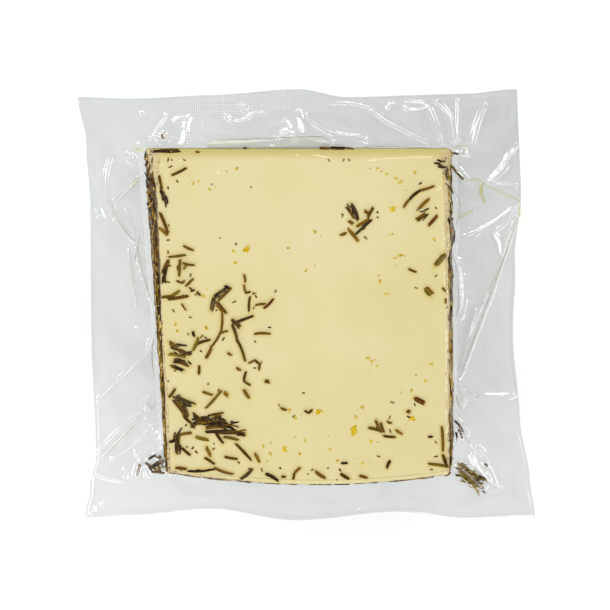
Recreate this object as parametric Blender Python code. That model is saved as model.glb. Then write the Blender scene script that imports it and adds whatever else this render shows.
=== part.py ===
"""A wedge of rosemary-coated manchego, shut in a clear vacuum pack with a blank label on its back.

The pack is one solid: a wedge with film drawn tight over it, and the thin flange where the
two films are sealed. It lies on its flat back film, thin edge towards +Y and rind towards -Y,
so that the upper cut face climbs towards the rind. Metres, +Z up, origin at the middle of the
bounding box, on the floor.

Places on the pack are worked out round the wheel's axis, which runs along X through the
wedge's thin edge at floor level: radius is the distance from it, and level runs from 0 on the
floor to 1 on the upper cut face.
"""
import math
import random

import bmesh
import bpy
from mathutils import Vector

MM = 0.001

# The wheel, and the wedge cut from it
WHEEL_RADIUS = 108.5 * MM
TIP_RADIUS = 4.0 * MM
WEDGE_ANGLE = math.radians(24)
LEFT_AT_TIP = -48.4 * MM
LEFT_AT_RIND = -41.6 * MM
RIGHT_SIDE = 47.2 * MM
BARREL = 4.0 * MM
BELLY_X = 5.0 * MM
CORNER_ROUND = 4.0 * MM
EDGE_ROUND = 2.2 * MM
MOST_ROUND = 0.4  # of the wedge's height above the flange, for the fillet and the edge

# The film: the flange's outline has straight sides between four cut corners, and each
# side has places where it wanders in (-) or out (+) of the straight line
FLANGE_THICKNESS = 0.9 * MM
FOOT_FILLET = 6.0 * MM
CORNERS = {
    "tip_left": (-68.4 * MM, -12.5 * MM),
    "tip_right": (66.8 * MM, -15.2 * MM),
    "rind_right": (76.9 * MM, 133.4 * MM),
    "rind_left": (-70.6 * MM, 133.7 * MM),
}
SIDES = (
    ("tip_left", "tip_right"),
    ("tip_right", "rind_right"),
    ("rind_right", "rind_left"),
    ("rind_left", "tip_left"),
)
WANDER = {
    "tip_left": ((0.13, -0.8), (0.3, -0.1), (0.5, 1.3), (0.62, -1.6), (0.88, -1.2)),
    "tip_right": ((0.22, 0.0), (0.39, -2.9), (0.57, -4.6), (0.76, -3.5), (0.91, -1.1)),
    "rind_right": ((0.16, 0.9), (0.3, -1.9), (0.53, 1.2), (0.72, -3.1), (0.9, -0.8)),
    "rind_left": ((0.07, -1.8), (0.16, -4.0), (0.45, -3.0), (0.76, -3.2), (0.9, -2.2)),
}
SIDE_STEPS = (22, 30, 24, 30)
FLANGE_RINGS = 4
FACE_RING = 0.8
FILLET_MIDDLE = 0.3

# Pleats in the film, each a straight ridge: end, other end, height and half width,
# in millimetres across and along the radius
HIGHEST_PLEAT = 0.7  # of the wedge's height above the flange
PLEATS = (
    ((-58, 4), (-50, 24), 2.4, 3.0),
    ((-58, 40), (-49, 20), 1.6, 2.5),
    ((-66, 91), (-50, 66), 2.2, 2.6),
    ((-66, 112), (-49, 90), 2.4, 2.6),
    ((-62, 113), (-47, 99), 2.0, 2.4),
    ((-56, 122), (-46, 112), 3.0, 3.4),
    ((-38, 1), (-30, -10), 1.2, 2.2),
    ((8, -6), (22, 2), 1.6, 2.4),
    ((40, -10), (47, 2), 1.6, 2.2),
    ((60, -12), (50, 4), 1.6, 2.2),
    ((67, 2), (54, 16), 1.8, 2.4),
    ((68, 26), (52, 66), 2.6, 2.8),
    ((64, 52), (50, 88), 2.2, 2.8),
    ((70, 89), (50, 88), 2.0, 2.6),
    ((62, 118), (52, 106), 4.5, 5.0),
)

# The label: blank paper on the back film, reaching a little past the wedge's thin edge
LABEL_LEFT = -28.7 * MM
LABEL_WIDTH = 38.0 * MM
LABEL_START = 1.4 * MM
LABEL_LENGTH = 60.0 * MM
LABEL_THICKNESS = 0.3 * MM
LABEL_CORNER = 2.5 * MM
LABEL_CORNER_STEPS = 4
GAP = 0.3 * MM

# Materials: slots on the pack, plain colours, and the angle that shading stays sharp above
CHEESE, FILM = 0, 1
CHEESE_COLOUR = (0.80, 0.71, 0.40)
FILM_COLOUR = (0.72, 0.75, 0.75)
ROSEMARY_COLOUR = (0.12, 0.08, 0.02)
PAPER_COLOUR = (0.85, 0.84, 0.80)
SHARP_ABOVE = math.radians(35)

# Rosemary needles that stand out under the film
NEEDLE_SIDES = 5
NEEDLE_SHOULDER = 0.3
NEEDLE_FLATNESS = 0.75
NEEDLE_STANDS = 0.15 * MM
NEEDLE_TURN = 28
SEED = 24
# On the cut face: middle across and down it and spread either way in millimetres, the
# needles' direction in degrees, and how many
SPRIGS = (
    ((-40, 25), (4, 14), 70, 7),
    ((-38, 44), (5, 9), 10, 9),
    ((-23, 48), (4, 8), 65, 6),
    ((-14, 60), (6, 12), 80, 8),
    ((-34, 64), (7, 6), 30, 8),
    ((-30, 82), (8, 5), -25, 9),
    ((-23, 88), (8, 4), 10, 8),
    ((-33, 93), (6, 3), 20, 5),
    ((-8, 98), (12, 2), 20, 5),
    ((18, 22), (4, 6), 60, 7),
    ((38, 18), (5, 6), -40, 5),
    ((26, 88), (6, 2), 20, 5),
    ((38, 80), (4, 8), 30, 4),
    ((20, 97), (13, 2), 10, 4),
)
# On the walls: how many on the left, on the right and on the rind, and where they may lie
WALL_NEEDLES = {"left": 26, "right": 22, "rind": 22}
COAT_LEVELS = (0.3, 0.85)
COAT_SHARES = (0.12, 0.85)  # of the wheel's flat face, from its centre
NEEDLE_LENGTH = (3.5 * MM, 8.0 * MM)
NEEDLE_RADIUS = (0.5 * MM, 0.85 * MM)


def straight(start, end, fraction):
    """A point part way along a straight line."""
    return tuple(a + (b - a) * fraction for a, b in zip(start, end))


def wander_at(side, fraction):
    """How far a side of the flange lies outside its straight line, in metres."""
    stops = ((0.0, 0.0),) + WANDER[side] + ((1.0, 0.0),)
    for (f0, w0), (f1, w1) in zip(stops, stops[1:]):
        if fraction <= f1:
            ease = (1 - math.cos(math.pi * (fraction - f0) / (f1 - f0))) / 2
            return (w0 + (w1 - w0) * ease) * MM
    return 0.0


def outline_point(side_number, fraction):
    """A point (across, radius) on the flange's cut edge."""
    name, following = SIDES[side_number]
    start, end = CORNERS[name], CORNERS[following]
    across, radius = straight(start, end, fraction)
    length = math.dist(start, end)
    out = ((end[1] - start[1]) / length, -(end[0] - start[0]) / length)
    shift = wander_at(name, fraction)
    return across + out[0] * shift, radius + out[1] * shift


def left_wall(radius):
    """X of the wedge's left wall at a radius."""
    share = (radius - TIP_RADIUS) / (WHEEL_RADIUS - TIP_RADIUS)
    return LEFT_AT_TIP + (LEFT_AT_RIND - LEFT_AT_TIP) * share


def rind_radius(across):
    """Radius of the rind, which bulges between the wheel's two flat faces."""
    return WHEEL_RADIUS - BARREL * ((across - BELLY_X) / RIGHT_SIDE) ** 2


def rounded(distance, length):
    """How far a side is pulled in at a distance from its start, for its rounded corners."""
    near = min(distance, length - distance)
    if near >= CORNER_ROUND:
        return 0.0
    return CORNER_ROUND - math.sqrt(CORNER_ROUND ** 2 - (CORNER_ROUND - near) ** 2)


def wall_point(side_number, fraction):
    """A point (across, radius) on the wedge's wall, with its direction outwards."""
    spans = (RIGHT_SIDE - LEFT_AT_TIP, WHEEL_RADIUS - TIP_RADIUS) * 2
    length = spans[side_number]
    cut = CORNER_ROUND * (1 - math.sqrt(0.5))
    distance = cut + (length - 2 * cut) * fraction
    pulled = rounded(distance, length)
    share = distance / length
    near = min(distance, length - distance)
    turn = math.asin(max(0.0, 1 - near / CORNER_ROUND))
    if share < 0.5:
        turn = -turn
    if side_number == 0:
        point = (LEFT_AT_TIP + length * share, TIP_RADIUS + pulled)
        facing = math.radians(-90)
    elif side_number == 1:
        radius = TIP_RADIUS + (rind_radius(RIGHT_SIDE) - TIP_RADIUS) * share
        point = (RIGHT_SIDE - pulled, radius)
        facing = 0.0
    elif side_number == 2:
        across = RIGHT_SIDE + (LEFT_AT_RIND - RIGHT_SIDE) * share
        point = (across, rind_radius(across) - pulled)
        facing = math.radians(90)
    else:
        radius = rind_radius(LEFT_AT_RIND) * (1 - share) + TIP_RADIUS * share
        point = (left_wall(radius) + pulled, radius)
        facing = math.radians(180)
    angle = facing + turn
    return point, (math.cos(angle), math.sin(angle))


def pleat_height(across, radius):
    """How far the pleats lift the flange at a place, in metres."""
    lift = 0.0
    for start, end, height, width in PLEATS:
        a = Vector(start) * MM
        b = Vector(end) * MM
        along = b - a
        place = Vector((across, radius)) - a
        share = min(1.0, max(0.0, place.dot(along) / along.length_squared))
        off = (place - along * share).length / (width * MM)
        lift = max(lift, height * MM * max(0.0, 1 - off))
    return lift


def outline_limits():
    """The flange's lowest and highest across and radius."""
    points = [
        outline_point(side, step / steps)
        for side, steps in enumerate(SIDE_STEPS)
        for step in range(steps)
    ]
    across = [p[0] for p in points]
    radius = [p[1] for p in points]
    return min(across), max(across), min(radius), max(radius)


ACROSS_MIN, ACROSS_MAX, RADIUS_MIN, RADIUS_MAX = outline_limits()
ACROSS_MIDDLE = (ACROSS_MIN + ACROSS_MAX) / 2
RADIUS_MIDDLE = (RADIUS_MIN + RADIUS_MAX) / 2


def world(across, radius, height):
    """A world point from a place across, a distance from the axis along the floor, and a height."""
    return Vector((across - ACROSS_MIDDLE, RADIUS_MIDDLE - radius, height))


def on_wedge(across, radius, level, lift=0.0):
    """A world point at a radius and level of the wedge, lifted off the plane of that level."""
    angle = WEDGE_ANGLE * level
    floor = radius * math.cos(angle) - lift * math.sin(angle)
    return world(across, floor, radius * math.sin(angle) + lift * math.cos(angle))


def rib_points(side_number, fraction):
    """One rib of the pack: its points from the flange's lower edge up to the cut face."""
    edge = outline_point(side_number, fraction)
    wall, out = wall_point(side_number, fraction)
    wall_height = wall[1] * math.sin(WEDGE_ANGLE) - FLANGE_THICKNESS
    fillet = min(FOOT_FILLET, MOST_ROUND * wall_height)
    round_in = min(EDGE_ROUND, MOST_ROUND * wall_height)

    def off_wall(distance):
        return wall[0] + out[0] * distance, wall[1] + out[1] * distance

    rib = [world(*edge, 0.0), world(*edge, FLANGE_THICKNESS)]
    lift = 0.0
    for ring in range(1, FLANGE_RINGS):
        place = straight(edge, off_wall(fillet), ring / (FLANGE_RINGS - 1))
        lift = min(pleat_height(*place), HIGHEST_PLEAT * wall_height)
        rib.append(world(*place, FLANGE_THICKNESS + lift))
    middle = FILLET_MIDDLE * fillet
    rib.append(world(*off_wall(middle), FLANGE_THICKNESS + max(middle, lift)))
    low = math.asin((FLANGE_THICKNESS + max(fillet, lift)) / wall[1]) / WEDGE_ANGLE
    high = 1 - math.asin(round_in / wall[1]) / WEDGE_ANGLE
    for level in (low, (low + high) / 2, high):
        rib.append(on_wedge(*wall, level))
    for turn in (math.radians(45), math.radians(90)):
        inset = round_in * (1 - math.cos(turn))
        sunk = round_in * (1 - math.sin(turn))
        rib.append(on_wedge(*off_wall(-inset), 1.0, -sunk))
    return rib


def plain_material(name, colour, roughness):
    """A material of one colour."""
    material = bpy.data.materials.new(name)
    material.use_nodes = True
    shader = material.node_tree.nodes["Principled BSDF"]
    shader.inputs["Base Color"].default_value = (*colour, 1.0)
    shader.inputs["Roughness"].default_value = roughness
    return material


def new_object(name, bm, materials, collection):
    """Turn a bmesh into an object."""
    bmesh.ops.recalc_face_normals(bm, faces=bm.faces)
    mesh = bpy.data.meshes.new(name)
    bm.to_mesh(mesh)
    bm.free()
    for material in materials:
        mesh.materials.append(material)
    obj = bpy.data.objects.new(name, mesh)
    collection.objects.link(obj)
    return obj


def make_wedge_and_flange(scene):
    """The bare pack, lofted through its ribs and closed above and below."""
    bm = bmesh.new()
    ribs = []
    for side, steps in enumerate(SIDE_STEPS):
        for step in range(steps):
            ribs.append([bm.verts.new(p) for p in rib_points(side, step / steps)])
    face_middle = sum((rib[-1].co for rib in ribs), Vector()) / len(ribs)
    for rib in ribs:
        rib.append(bm.verts.new(face_middle.lerp(rib[-1].co, FACE_RING)))
    hub = bm.verts.new(face_middle)
    film_rings = FLANGE_RINGS + 1
    for rib, following in zip(ribs, ribs[1:] + ribs[:1]):
        for ring in range(len(rib) - 1):
            quad = (rib[ring], following[ring], following[ring + 1], rib[ring + 1])
            bm.faces.new(quad).material_index = FILM if ring < film_rings else CHEESE
        bm.faces.new((rib[-1], following[-1], hub)).material_index = CHEESE
    bm.faces.new([rib[0] for rib in reversed(ribs)]).material_index = FILM
    bmesh.ops.triangulate(bm, faces=[face for face in bm.faces if len(face.verts) > 3])
    materials = (
        plain_material("cheese", CHEESE_COLOUR, 0.35),
        plain_material("clear_film", FILM_COLOUR, 0.1),
    )
    return new_object("vacuum_pack", bm, materials, scene)


def make_needle(coat, middle, along, up, draw):
    """One rosemary needle: a flattened spindle lying along a surface whose normal is up."""
    bm = bmesh.new()
    length = draw.uniform(*NEEDLE_LENGTH)
    radius = draw.uniform(*NEEDLE_RADIUS)
    across = along.cross(up).normalized()
    middle = middle + up * NEEDLE_STANDS
    rings = []
    for place in (-NEEDLE_SHOULDER, NEEDLE_SHOULDER):
        ring = []
        for step in range(NEEDLE_SIDES):
            angle = 2 * math.pi * step / NEEDLE_SIDES
            offset = across * math.cos(angle) + up * math.sin(angle) * NEEDLE_FLATNESS
            ring.append(bm.verts.new(middle + along * length * place + offset * radius))
        rings.append(ring)
    tips = [bm.verts.new(middle + along * length * place) for place in (-0.5, 0.5)]
    for step in range(NEEDLE_SIDES):
        following = (step + 1) % NEEDLE_SIDES
        first, last = rings
        bm.faces.new((first[step], first[following], last[following], last[step]))
        bm.faces.new((first[following], first[step], tips[0]))
        bm.faces.new((last[step], last[following], tips[1]))
    bmesh.ops.triangulate(bm, faces=bm.faces)
    new_object("needle", bm, (bpy.data.materials["rosemary"],), coat)


def scatter_on_face(coat, draw):
    """The sprigs and loose needles on the cut face."""
    normal = Vector((0.0, math.sin(WEDGE_ANGLE), math.cos(WEDGE_ANGLE)))
    down = Vector((0.0, -math.cos(WEDGE_ANGLE), math.sin(WEDGE_ANGLE)))
    for middle, spread, direction, count in SPRIGS:
        for _ in range(count):
            across = draw.uniform(middle[0] - spread[0], middle[0] + spread[0]) * MM
            below = draw.uniform(middle[1] - spread[1], middle[1] + spread[1]) * MM
            place = on_wedge(across, TIP_RADIUS + below, 1.0)
            angle = math.radians(direction + draw.gauss(0, NEEDLE_TURN))
            along = Vector((1, 0, 0)) * math.cos(angle) + down * math.sin(angle)
            make_needle(coat, place, along, normal, draw)


def scatter_on_walls(coat, draw):
    """The rosemary coat on the wheel's two flat faces and on its rind."""
    for wall, count in WALL_NEEDLES.items():
        for _ in range(count):
            level = draw.uniform(*COAT_LEVELS)
            radius = WHEEL_RADIUS * math.sqrt(draw.uniform(*COAT_SHARES))
            if wall == "rind":
                across = draw.uniform(LEFT_AT_RIND + CORNER_ROUND, RIGHT_SIDE - CORNER_ROUND)
                radius = rind_radius(across)
                out = on_wedge(across, radius, level) - on_wedge(across, 0.0, level)
                flat = Vector((1, 0, 0))
            elif wall == "left":
                across = left_wall(radius)
                out = Vector((-1, 0, 0))
                flat = Vector((0, 1, 0))
            else:
                across = RIGHT_SIDE
                out = Vector((1, 0, 0))
                flat = Vector((0, 1, 0))
            out.normalize()
            steep = out.cross(flat).normalized()
            angle = draw.uniform(0, math.pi)
            along = flat * math.cos(angle) + steep * math.sin(angle)
            make_needle(coat, on_wedge(across, radius, level), along, out, draw)


def keep_main_shell(mesh):
    """Drop the loose scraps, and fill the hollows that crossing needles seal."""
    bm = bmesh.new()
    bm.from_mesh(mesh)
    unseen = set(bm.faces)
    shells = []
    while unseen:
        shell = []
        reached = [unseen.pop()]
        while reached:
            face = reached.pop()
            shell.append(face)
            near = {other for edge in face.edges for other in edge.link_faces} & unseen
            unseen -= near
            reached.extend(near)
        shells.append(shell)
    shells.remove(max(shells, key=len))
    scraps = [face for shell in shells for face in shell]
    bmesh.ops.delete(bm, geom=scraps, context="FACES")
    bm.to_mesh(mesh)
    bm.free()


def fuse(obj, coat):
    """Join every object of a collection to an object, then remove the collection."""
    union = obj.modifiers.new("rosemary", "BOOLEAN")
    union.operation = "UNION"
    union.operand_type = "COLLECTION"
    union.collection = coat
    union.solver = "EXACT"
    union.material_mode = "TRANSFER"
    depsgraph = bpy.context.evaluated_depsgraph_get()
    fused = bpy.data.meshes.new_from_object(obj.evaluated_get(depsgraph))
    keep_main_shell(fused)
    obj.modifiers.clear()
    fused.shade_smooth()
    fused.set_sharp_from_angle(angle=SHARP_ABOVE)
    obj.data = fused
    for needle in list(coat.objects):
        bpy.data.objects.remove(needle)
    bpy.data.collections.remove(coat)


def rounded_slab(name, margin, low, high, scene):
    """A flat slab with the label's outline, grown by a margin, between two heights."""
    bm = bmesh.new()
    corner = LABEL_CORNER + margin
    across = (LABEL_LEFT + LABEL_CORNER, LABEL_LEFT + LABEL_WIDTH - LABEL_CORNER)
    radius = (LABEL_START + LABEL_CORNER, LABEL_START + LABEL_LENGTH - LABEL_CORNER)
    centres = ((across[1], radius[1]), (across[0], radius[1]),
               (across[0], radius[0]), (across[1], radius[0]))
    outline = []
    for quarter, centre in enumerate(centres):
        for step in range(LABEL_CORNER_STEPS + 1):
            angle = math.pi / 2 * (quarter + step / LABEL_CORNER_STEPS)
            place = (centre[0] + corner * math.cos(angle), centre[1] + corner * math.sin(angle))
            outline.append(bm.verts.new(world(*place, low)))
    floor = bm.faces.new(outline)
    raised = bmesh.ops.extrude_face_region(bm, geom=[floor])["geom"]
    tops = [item for item in raised if isinstance(item, bmesh.types.BMVert)]
    bmesh.ops.translate(bm, vec=(0, 0, high - low), verts=tops)
    paper = plain_material(name, PAPER_COLOUR, 0.7)
    return new_object(name, bm, (paper,), scene)


def make_pack(scene):
    """The pack with its rosemary and the shallow recess that the label lies in."""
    pack = make_wedge_and_flange(scene)
    plain_material("rosemary", ROSEMARY_COLOUR, 0.6)
    coat = bpy.data.collections.new("coat")
    scene.children.link(coat)
    draw = random.Random(SEED)
    scatter_on_face(coat, draw)
    scatter_on_walls(coat, draw)
    fuse(pack, coat)
    cutter = rounded_slab("label_recess", GAP, -LABEL_THICKNESS, LABEL_THICKNESS + GAP, scene)
    cutter.hide_render = True
    cutter.display_type = "WIRE"
    recess = pack.modifiers.new("label_recess", "BOOLEAN")
    recess.operation = "DIFFERENCE"
    recess.object = cutter
    recess.solver = "EXACT"


for old in list(bpy.data.objects):
    bpy.data.objects.remove(old)
main_collection = bpy.context.scene.collection
make_pack(main_collection)
rounded_slab("label", 0.0, 0.0, LABEL_THICKNESS, main_collection)
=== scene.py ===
import math
import random

import bpy
import numpy as np
from mathutils import Matrix, Vector

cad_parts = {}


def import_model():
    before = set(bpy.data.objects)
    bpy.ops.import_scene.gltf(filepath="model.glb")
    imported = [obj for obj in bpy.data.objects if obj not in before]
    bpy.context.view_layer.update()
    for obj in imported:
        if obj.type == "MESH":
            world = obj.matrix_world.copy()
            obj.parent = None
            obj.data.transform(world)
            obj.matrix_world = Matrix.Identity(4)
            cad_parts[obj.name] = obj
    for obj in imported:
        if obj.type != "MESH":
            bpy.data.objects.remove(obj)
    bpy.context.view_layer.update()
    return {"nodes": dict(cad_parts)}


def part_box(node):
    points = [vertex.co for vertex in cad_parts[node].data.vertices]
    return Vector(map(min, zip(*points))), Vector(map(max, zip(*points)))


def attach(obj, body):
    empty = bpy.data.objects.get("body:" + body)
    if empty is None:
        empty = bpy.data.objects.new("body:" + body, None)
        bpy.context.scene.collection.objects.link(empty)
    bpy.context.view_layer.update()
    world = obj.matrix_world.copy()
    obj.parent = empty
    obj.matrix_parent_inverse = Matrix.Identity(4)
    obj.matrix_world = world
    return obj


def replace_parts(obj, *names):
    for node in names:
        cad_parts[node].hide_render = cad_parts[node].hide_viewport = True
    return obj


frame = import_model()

MM = 0.001

# The wheel and the wedge cut from it, as in the solids. The wheel's axis runs along X through
# the thin edge; radius is the distance from it, and level runs from 0 on the floor to 1 on the
# upper cut face.
WHEEL_RADIUS = 108.5 * MM
TIP_RADIUS = 4.0 * MM
WEDGE_ANGLE = math.radians(24)
BARREL = 4.0 * MM
BELLY_X = 5.0 * MM
# X of the walls at the thin edge and at the rind: where they stand on the floor, and where
# they meet the cut face
LEFT_FOOT = (-48.9 * MM, -43.6 * MM)
RIGHT_FOOT = (47.4 * MM, 49.0 * MM)
LEFT_FACE = (-46.3 * MM, -42.3 * MM)
RIGHT_FACE = (46.0 * MM, 46.2 * MM)

# The flange's outline: cut corners, and where each side wanders out (+) or in (-)
CORNERS = {
    "tip_left": (-68.4 * MM, -12.5 * MM),
    "tip_right": (66.8 * MM, -15.2 * MM),
    "rind_right": (76.9 * MM, 133.4 * MM),
    "rind_left": (-70.6 * MM, 133.7 * MM),
}
WANDER = {
    "tip_left": ((0.13, -0.8), (0.3, -0.1), (0.5, 1.3), (0.62, -1.6), (0.88, -1.2)),
    "tip_right": ((0.22, 0.0), (0.39, -2.9), (0.57, -4.6), (0.76, -3.5), (0.91, -1.1)),
    "rind_right": ((0.16, 0.9), (0.3, -1.9), (0.53, 1.2), (0.72, -3.1), (0.9, -0.8)),
    "rind_left": ((0.07, -1.8), (0.16, -4.0), (0.45, -3.0), (0.76, -3.2), (0.9, -2.2)),
}

pack_low, pack_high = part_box("vacuum_pack")
ACROSS_MIDDLE = CORNERS["rind_left"][0] - pack_low[0]
RADIUS_MIDDLE = CORNERS["tip_right"][1] + pack_high[1]

# The cut face's own directions, as the photograph shows them
FACE_NORMAL = Vector((0.0, math.sin(WEDGE_ANGLE), math.cos(WEDGE_ANGLE)))
FACE_RIGHT = Vector((1.0, 0.0, 0.0))
FACE_DOWN = Vector((0.0, -math.cos(WEDGE_ANGLE), math.sin(WEDGE_ANGLE)))

# The camera looks square on to the cut face. The photograph is 610 pixels wide, and a pixel
# is 0.31 mm in the plane of the cut face.
PIXELS = 610
PIXEL = 0.31 * MM
CAMERA_DISTANCE = 950 * MM
SENSOR = 36.0
AXIS_PIXEL = 300.0  # the pixel column of across = 0
TIP_PIXEL = 148.0   # the pixel row of the thin edge
CENTRE_PIXEL = PIXELS / 2

# How the pieces lie on each other
BACK_FILM = 0.05 * MM
OVER_LABEL = 0.40 * MM
FILM_APART = 0.22 * MM
CHEESE_FLOOR = 0.8 * MM
FILM_OFF_FACE = 0.65 * MM
FILM_OFF_RIND = 0.1 * MM
FILM_OUT = (0.3 * MM, 0.15 * MM)  # from the side walls, and from the rind and thin edge

# Where rosemary lies thick on the right wall, and how far it pushes the wall out at its foot,
# and the film at the cut face
BULGE_MIDDLE = (452, 238)  # photograph pixel
BULGE_REACH = 3.4 * MM
BULGE_FOOT = 0.9 * MM
BULGE_TOP = 0.3 * MM
# How far the film and the cheese round over into the cut face: from the side walls, from the
# rind and thin edge, and at most, as a share of the wall's height
FILM_ROUND = (1.0 * MM, 1.6 * MM, 0.35)
CHEESE_ROUND = (0.9 * MM, 1.5 * MM, 0.3)
# Uneven surfaces: how high their bumps are, and how broad. Those of the walls are as high as
# this where a wall is FULL_WALL high, and lower where the wall is.
FLANGE_WAVE = (0.35 * MM, 26 * MM)
PUCKER = (0.12 * MM, 6 * MM)
WALL_RIPPLE = (0.35 * MM, 7 * MM)
FACE_RIPPLE = (0.04 * MM, 14 * MM)
CHEESE_LUMPS = (0.15 * MM, 5 * MM)
CHEESE_SWELL = (0.06 * MM, 18 * MM)
FULL_WALL = 40 * MM
WAVES = 7  # how many waves are summed in one uneven surface


# Places on the pack

def world(across, radius, height):
    """World points from places across, distances from the axis along the floor, and heights."""
    return np.stack(np.broadcast_arrays(across - ACROSS_MIDDLE, RADIUS_MIDDLE - radius, height), -1)


def on_wedge(across, radius, level, lift=0.0):
    """World points at a radius and level of the wedge, lifted off the plane of that level."""
    angle = WEDGE_ANGLE * level
    floor = radius * np.cos(angle) - lift * np.sin(angle)
    return world(across, floor, radius * np.sin(angle) + lift * np.cos(angle))


def face_place(pixel):
    """(across, radius) on the cut face of a pixel of the photograph."""
    return (pixel[0] - AXIS_PIXEL) * PIXEL, (pixel[1] - TIP_PIXEL) * PIXEL + TIP_RADIUS


def camera_place():
    """(across, radius, lift) of the camera, square above the middle pixel's place on the face."""
    across, radius = face_place((CENTRE_PIXEL, CENTRE_PIXEL))
    return across, radius, CAMERA_DISTANCE


def floor_place(pixel, height=0.0):
    """(across, radius along the floor) of what a pixel shows at a height above the floor."""
    across, radius = face_place(pixel)
    eye_across, eye_radius, eye_lift = camera_place()

    def height_at(share):
        along = eye_radius + (radius - eye_radius) * share
        return along * math.sin(WEDGE_ANGLE) + eye_lift * (1 - share) * math.cos(WEDGE_ANGLE)

    share = (height_at(0) - height) / (height_at(0) - height_at(1))
    along = eye_radius + (radius - eye_radius) * share
    lift = eye_lift * (1 - share)
    return (eye_across + (across - eye_across) * share,
            along * math.cos(WEDGE_ANGLE) - lift * math.sin(WEDGE_ANGLE))


def over_floor(pixel, height):
    """World points of what pixels show at heights above the floor."""
    return world(*floor_place(pixel, height), height)


def turned(u, v, turn):
    """A place (u, v) turned by an angle about (0, 0)."""
    return u * math.cos(turn) - v * math.sin(turn), u * math.sin(turn) + v * math.cos(turn)


def ease(values):
    """A smooth step from 0 to 1."""
    values = np.clip(values, 0.0, 1.0)
    return values * values * (3 - 2 * values)


def mix(a, b, share):
    """A share of the way from a to b."""
    return a + (b - a) * share


def waves(points, size, seed):
    """A smooth uneven field between about -1 and 1, with bumps of a size in metres."""
    draw = np.random.default_rng(seed)
    total = np.zeros(points.shape[:-1])
    for _ in range(WAVES):
        direction = draw.normal(size=points.shape[-1])
        direction /= np.linalg.norm(direction)
        turn = 2 * math.pi / size * draw.uniform(0.55, 1.6)
        total += np.sin(points @ direction * turn + draw.uniform(0, 2 * math.pi))
    return total / math.sqrt(WAVES)


def uneven(points, bumps, seed):
    """Such a field with the height and size of some bumps."""
    height, size = bumps
    return height * waves(points, size, seed)


def wander_at(side, fraction):
    """How far a side of the flange wanders out, at fractions of the way along it."""
    stops = ((0.0, 0.0),) + WANDER[side] + ((1.0, 0.0),)
    result = np.zeros_like(fraction)
    for (f0, w0), (f1, w1) in zip(stops, stops[1:]):
        part = (fraction >= f0) & (fraction <= f1)
        share = (1 - np.cos(np.pi * (fraction - f0) / (f1 - f0))) / 2
        result = np.where(part, w0 + (w1 - w0) * share, result)
    return result * MM


def outline(side_steps):
    """(across, radius) all round the flange's cut edge."""
    names = list(CORNERS)
    parts = []
    for name, following, steps in zip(names, names[1:] + names[:1], side_steps):
        fraction = np.arange(steps) / steps
        start = np.array(CORNERS[name])
        end = np.array(CORNERS[following])
        along = end - start
        out = np.array((along[1], -along[0])) / np.linalg.norm(along)
        line = start + along * fraction[:, None]
        parts.append(line + out * wander_at(name, fraction)[:, None])
    return np.concatenate(parts)


def rind_radius(across):
    """How far the barrelled rind is from the wheel's axis."""
    return WHEEL_RADIUS - BARREL * ((across - BELLY_X) / RIGHT_FOOT[0]) ** 2


def walls(side_steps, left, right, corner, inset=0.0):
    """(across, radius) and the direction outwards all round the wedge, with rounded corners.

    left and right are the walls' X at the thin edge and at the rind, and inset is how far in
    the thin edge and the rind stand.
    """
    tip = TIP_RADIUS + inset
    places = []
    outs = []
    for side, steps in enumerate(side_steps):
        length = (right[0] - left[0], WHEEL_RADIUS - tip)[side % 2]
        cut = corner * (1 - math.sqrt(0.5))
        distance = cut + (length - 2 * cut) * np.arange(steps) / steps
        near = np.minimum(distance, length - distance)
        inside = np.clip(corner - near, 0, None)
        pulled = corner - np.sqrt(corner ** 2 - inside ** 2)
        share = distance / length
        turn = np.arcsin(np.clip(1 - near / corner, 0, None))
        turn = np.where(share < 0.5, -turn, turn)
        if side == 0:
            across = left[0] + length * share
            radius = tip + pulled
        elif side == 1:
            far = rind_radius(right[1]) - inset
            radius = mix(tip, far, share)
            across = mix(right[0], right[1], share) - pulled
        elif side == 2:
            across = mix(right[1], left[1], share)
            radius = rind_radius(across) - inset - pulled
        else:
            far = rind_radius(left[1]) - inset
            radius = mix(far, tip, share)
            across = mix(left[1], left[0], share) + pulled
        angle = np.radians(90 * (side - 1)) + turn
        places.append(np.stack((across, radius), -1))
        outs.append(np.stack((np.cos(angle), np.sin(angle)), -1))
    return np.concatenate(places), np.concatenate(outs)


def bulge(places, out, height):
    """Places pushed out where rosemary lies thick on the right wall."""
    off = (places[:, 1] - face_place(BULGE_MIDDLE)[1]) / BULGE_REACH
    push = height * np.exp(-off ** 2) * np.clip(out[:, 0], 0, 1)
    return places + out * push[:, None]


# Meshes

def new_object(name, points, faces, material):
    """A smooth mesh that rides on the pack. Its faces are wound inwards, so they are flipped."""
    mesh = bpy.data.meshes.new(name)
    mesh.from_pydata([tuple(p) for p in points], [], faces)
    mesh.validate()
    mesh.flip_normals()
    mesh.shade_smooth()
    mesh.materials.append(material)
    obj = bpy.data.objects.new(name, mesh)
    bpy.context.scene.collection.objects.link(obj)
    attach(obj, "root")
    return obj


def ring_faces(first, count, rings):
    """Faces that join closed rings of points, each ring following on from the one before."""
    faces = []
    for ring in range(rings - 1):
        base = first + ring * count
        for i in range(count):
            j = (i + 1) % count
            faces.append((base + i, base + j, base + count + j, base + count + i))
    return faces


def closed_faces(first, count, rings):
    """Such faces, with a cap on the first ring and on the last."""
    first_cap = tuple(first + i for i in reversed(range(count)))
    last_cap = tuple(first + (rings - 1) * count + i for i in range(count))
    return ring_faces(first, count, rings) + [first_cap, last_cap]


def fan_faces(hub, first, count):
    """Triangles from a hub to a closed ring that faces the other way from the rings above it."""
    return [(first + (i + 1) % count, first + i, hub) for i in range(count)]


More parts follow.
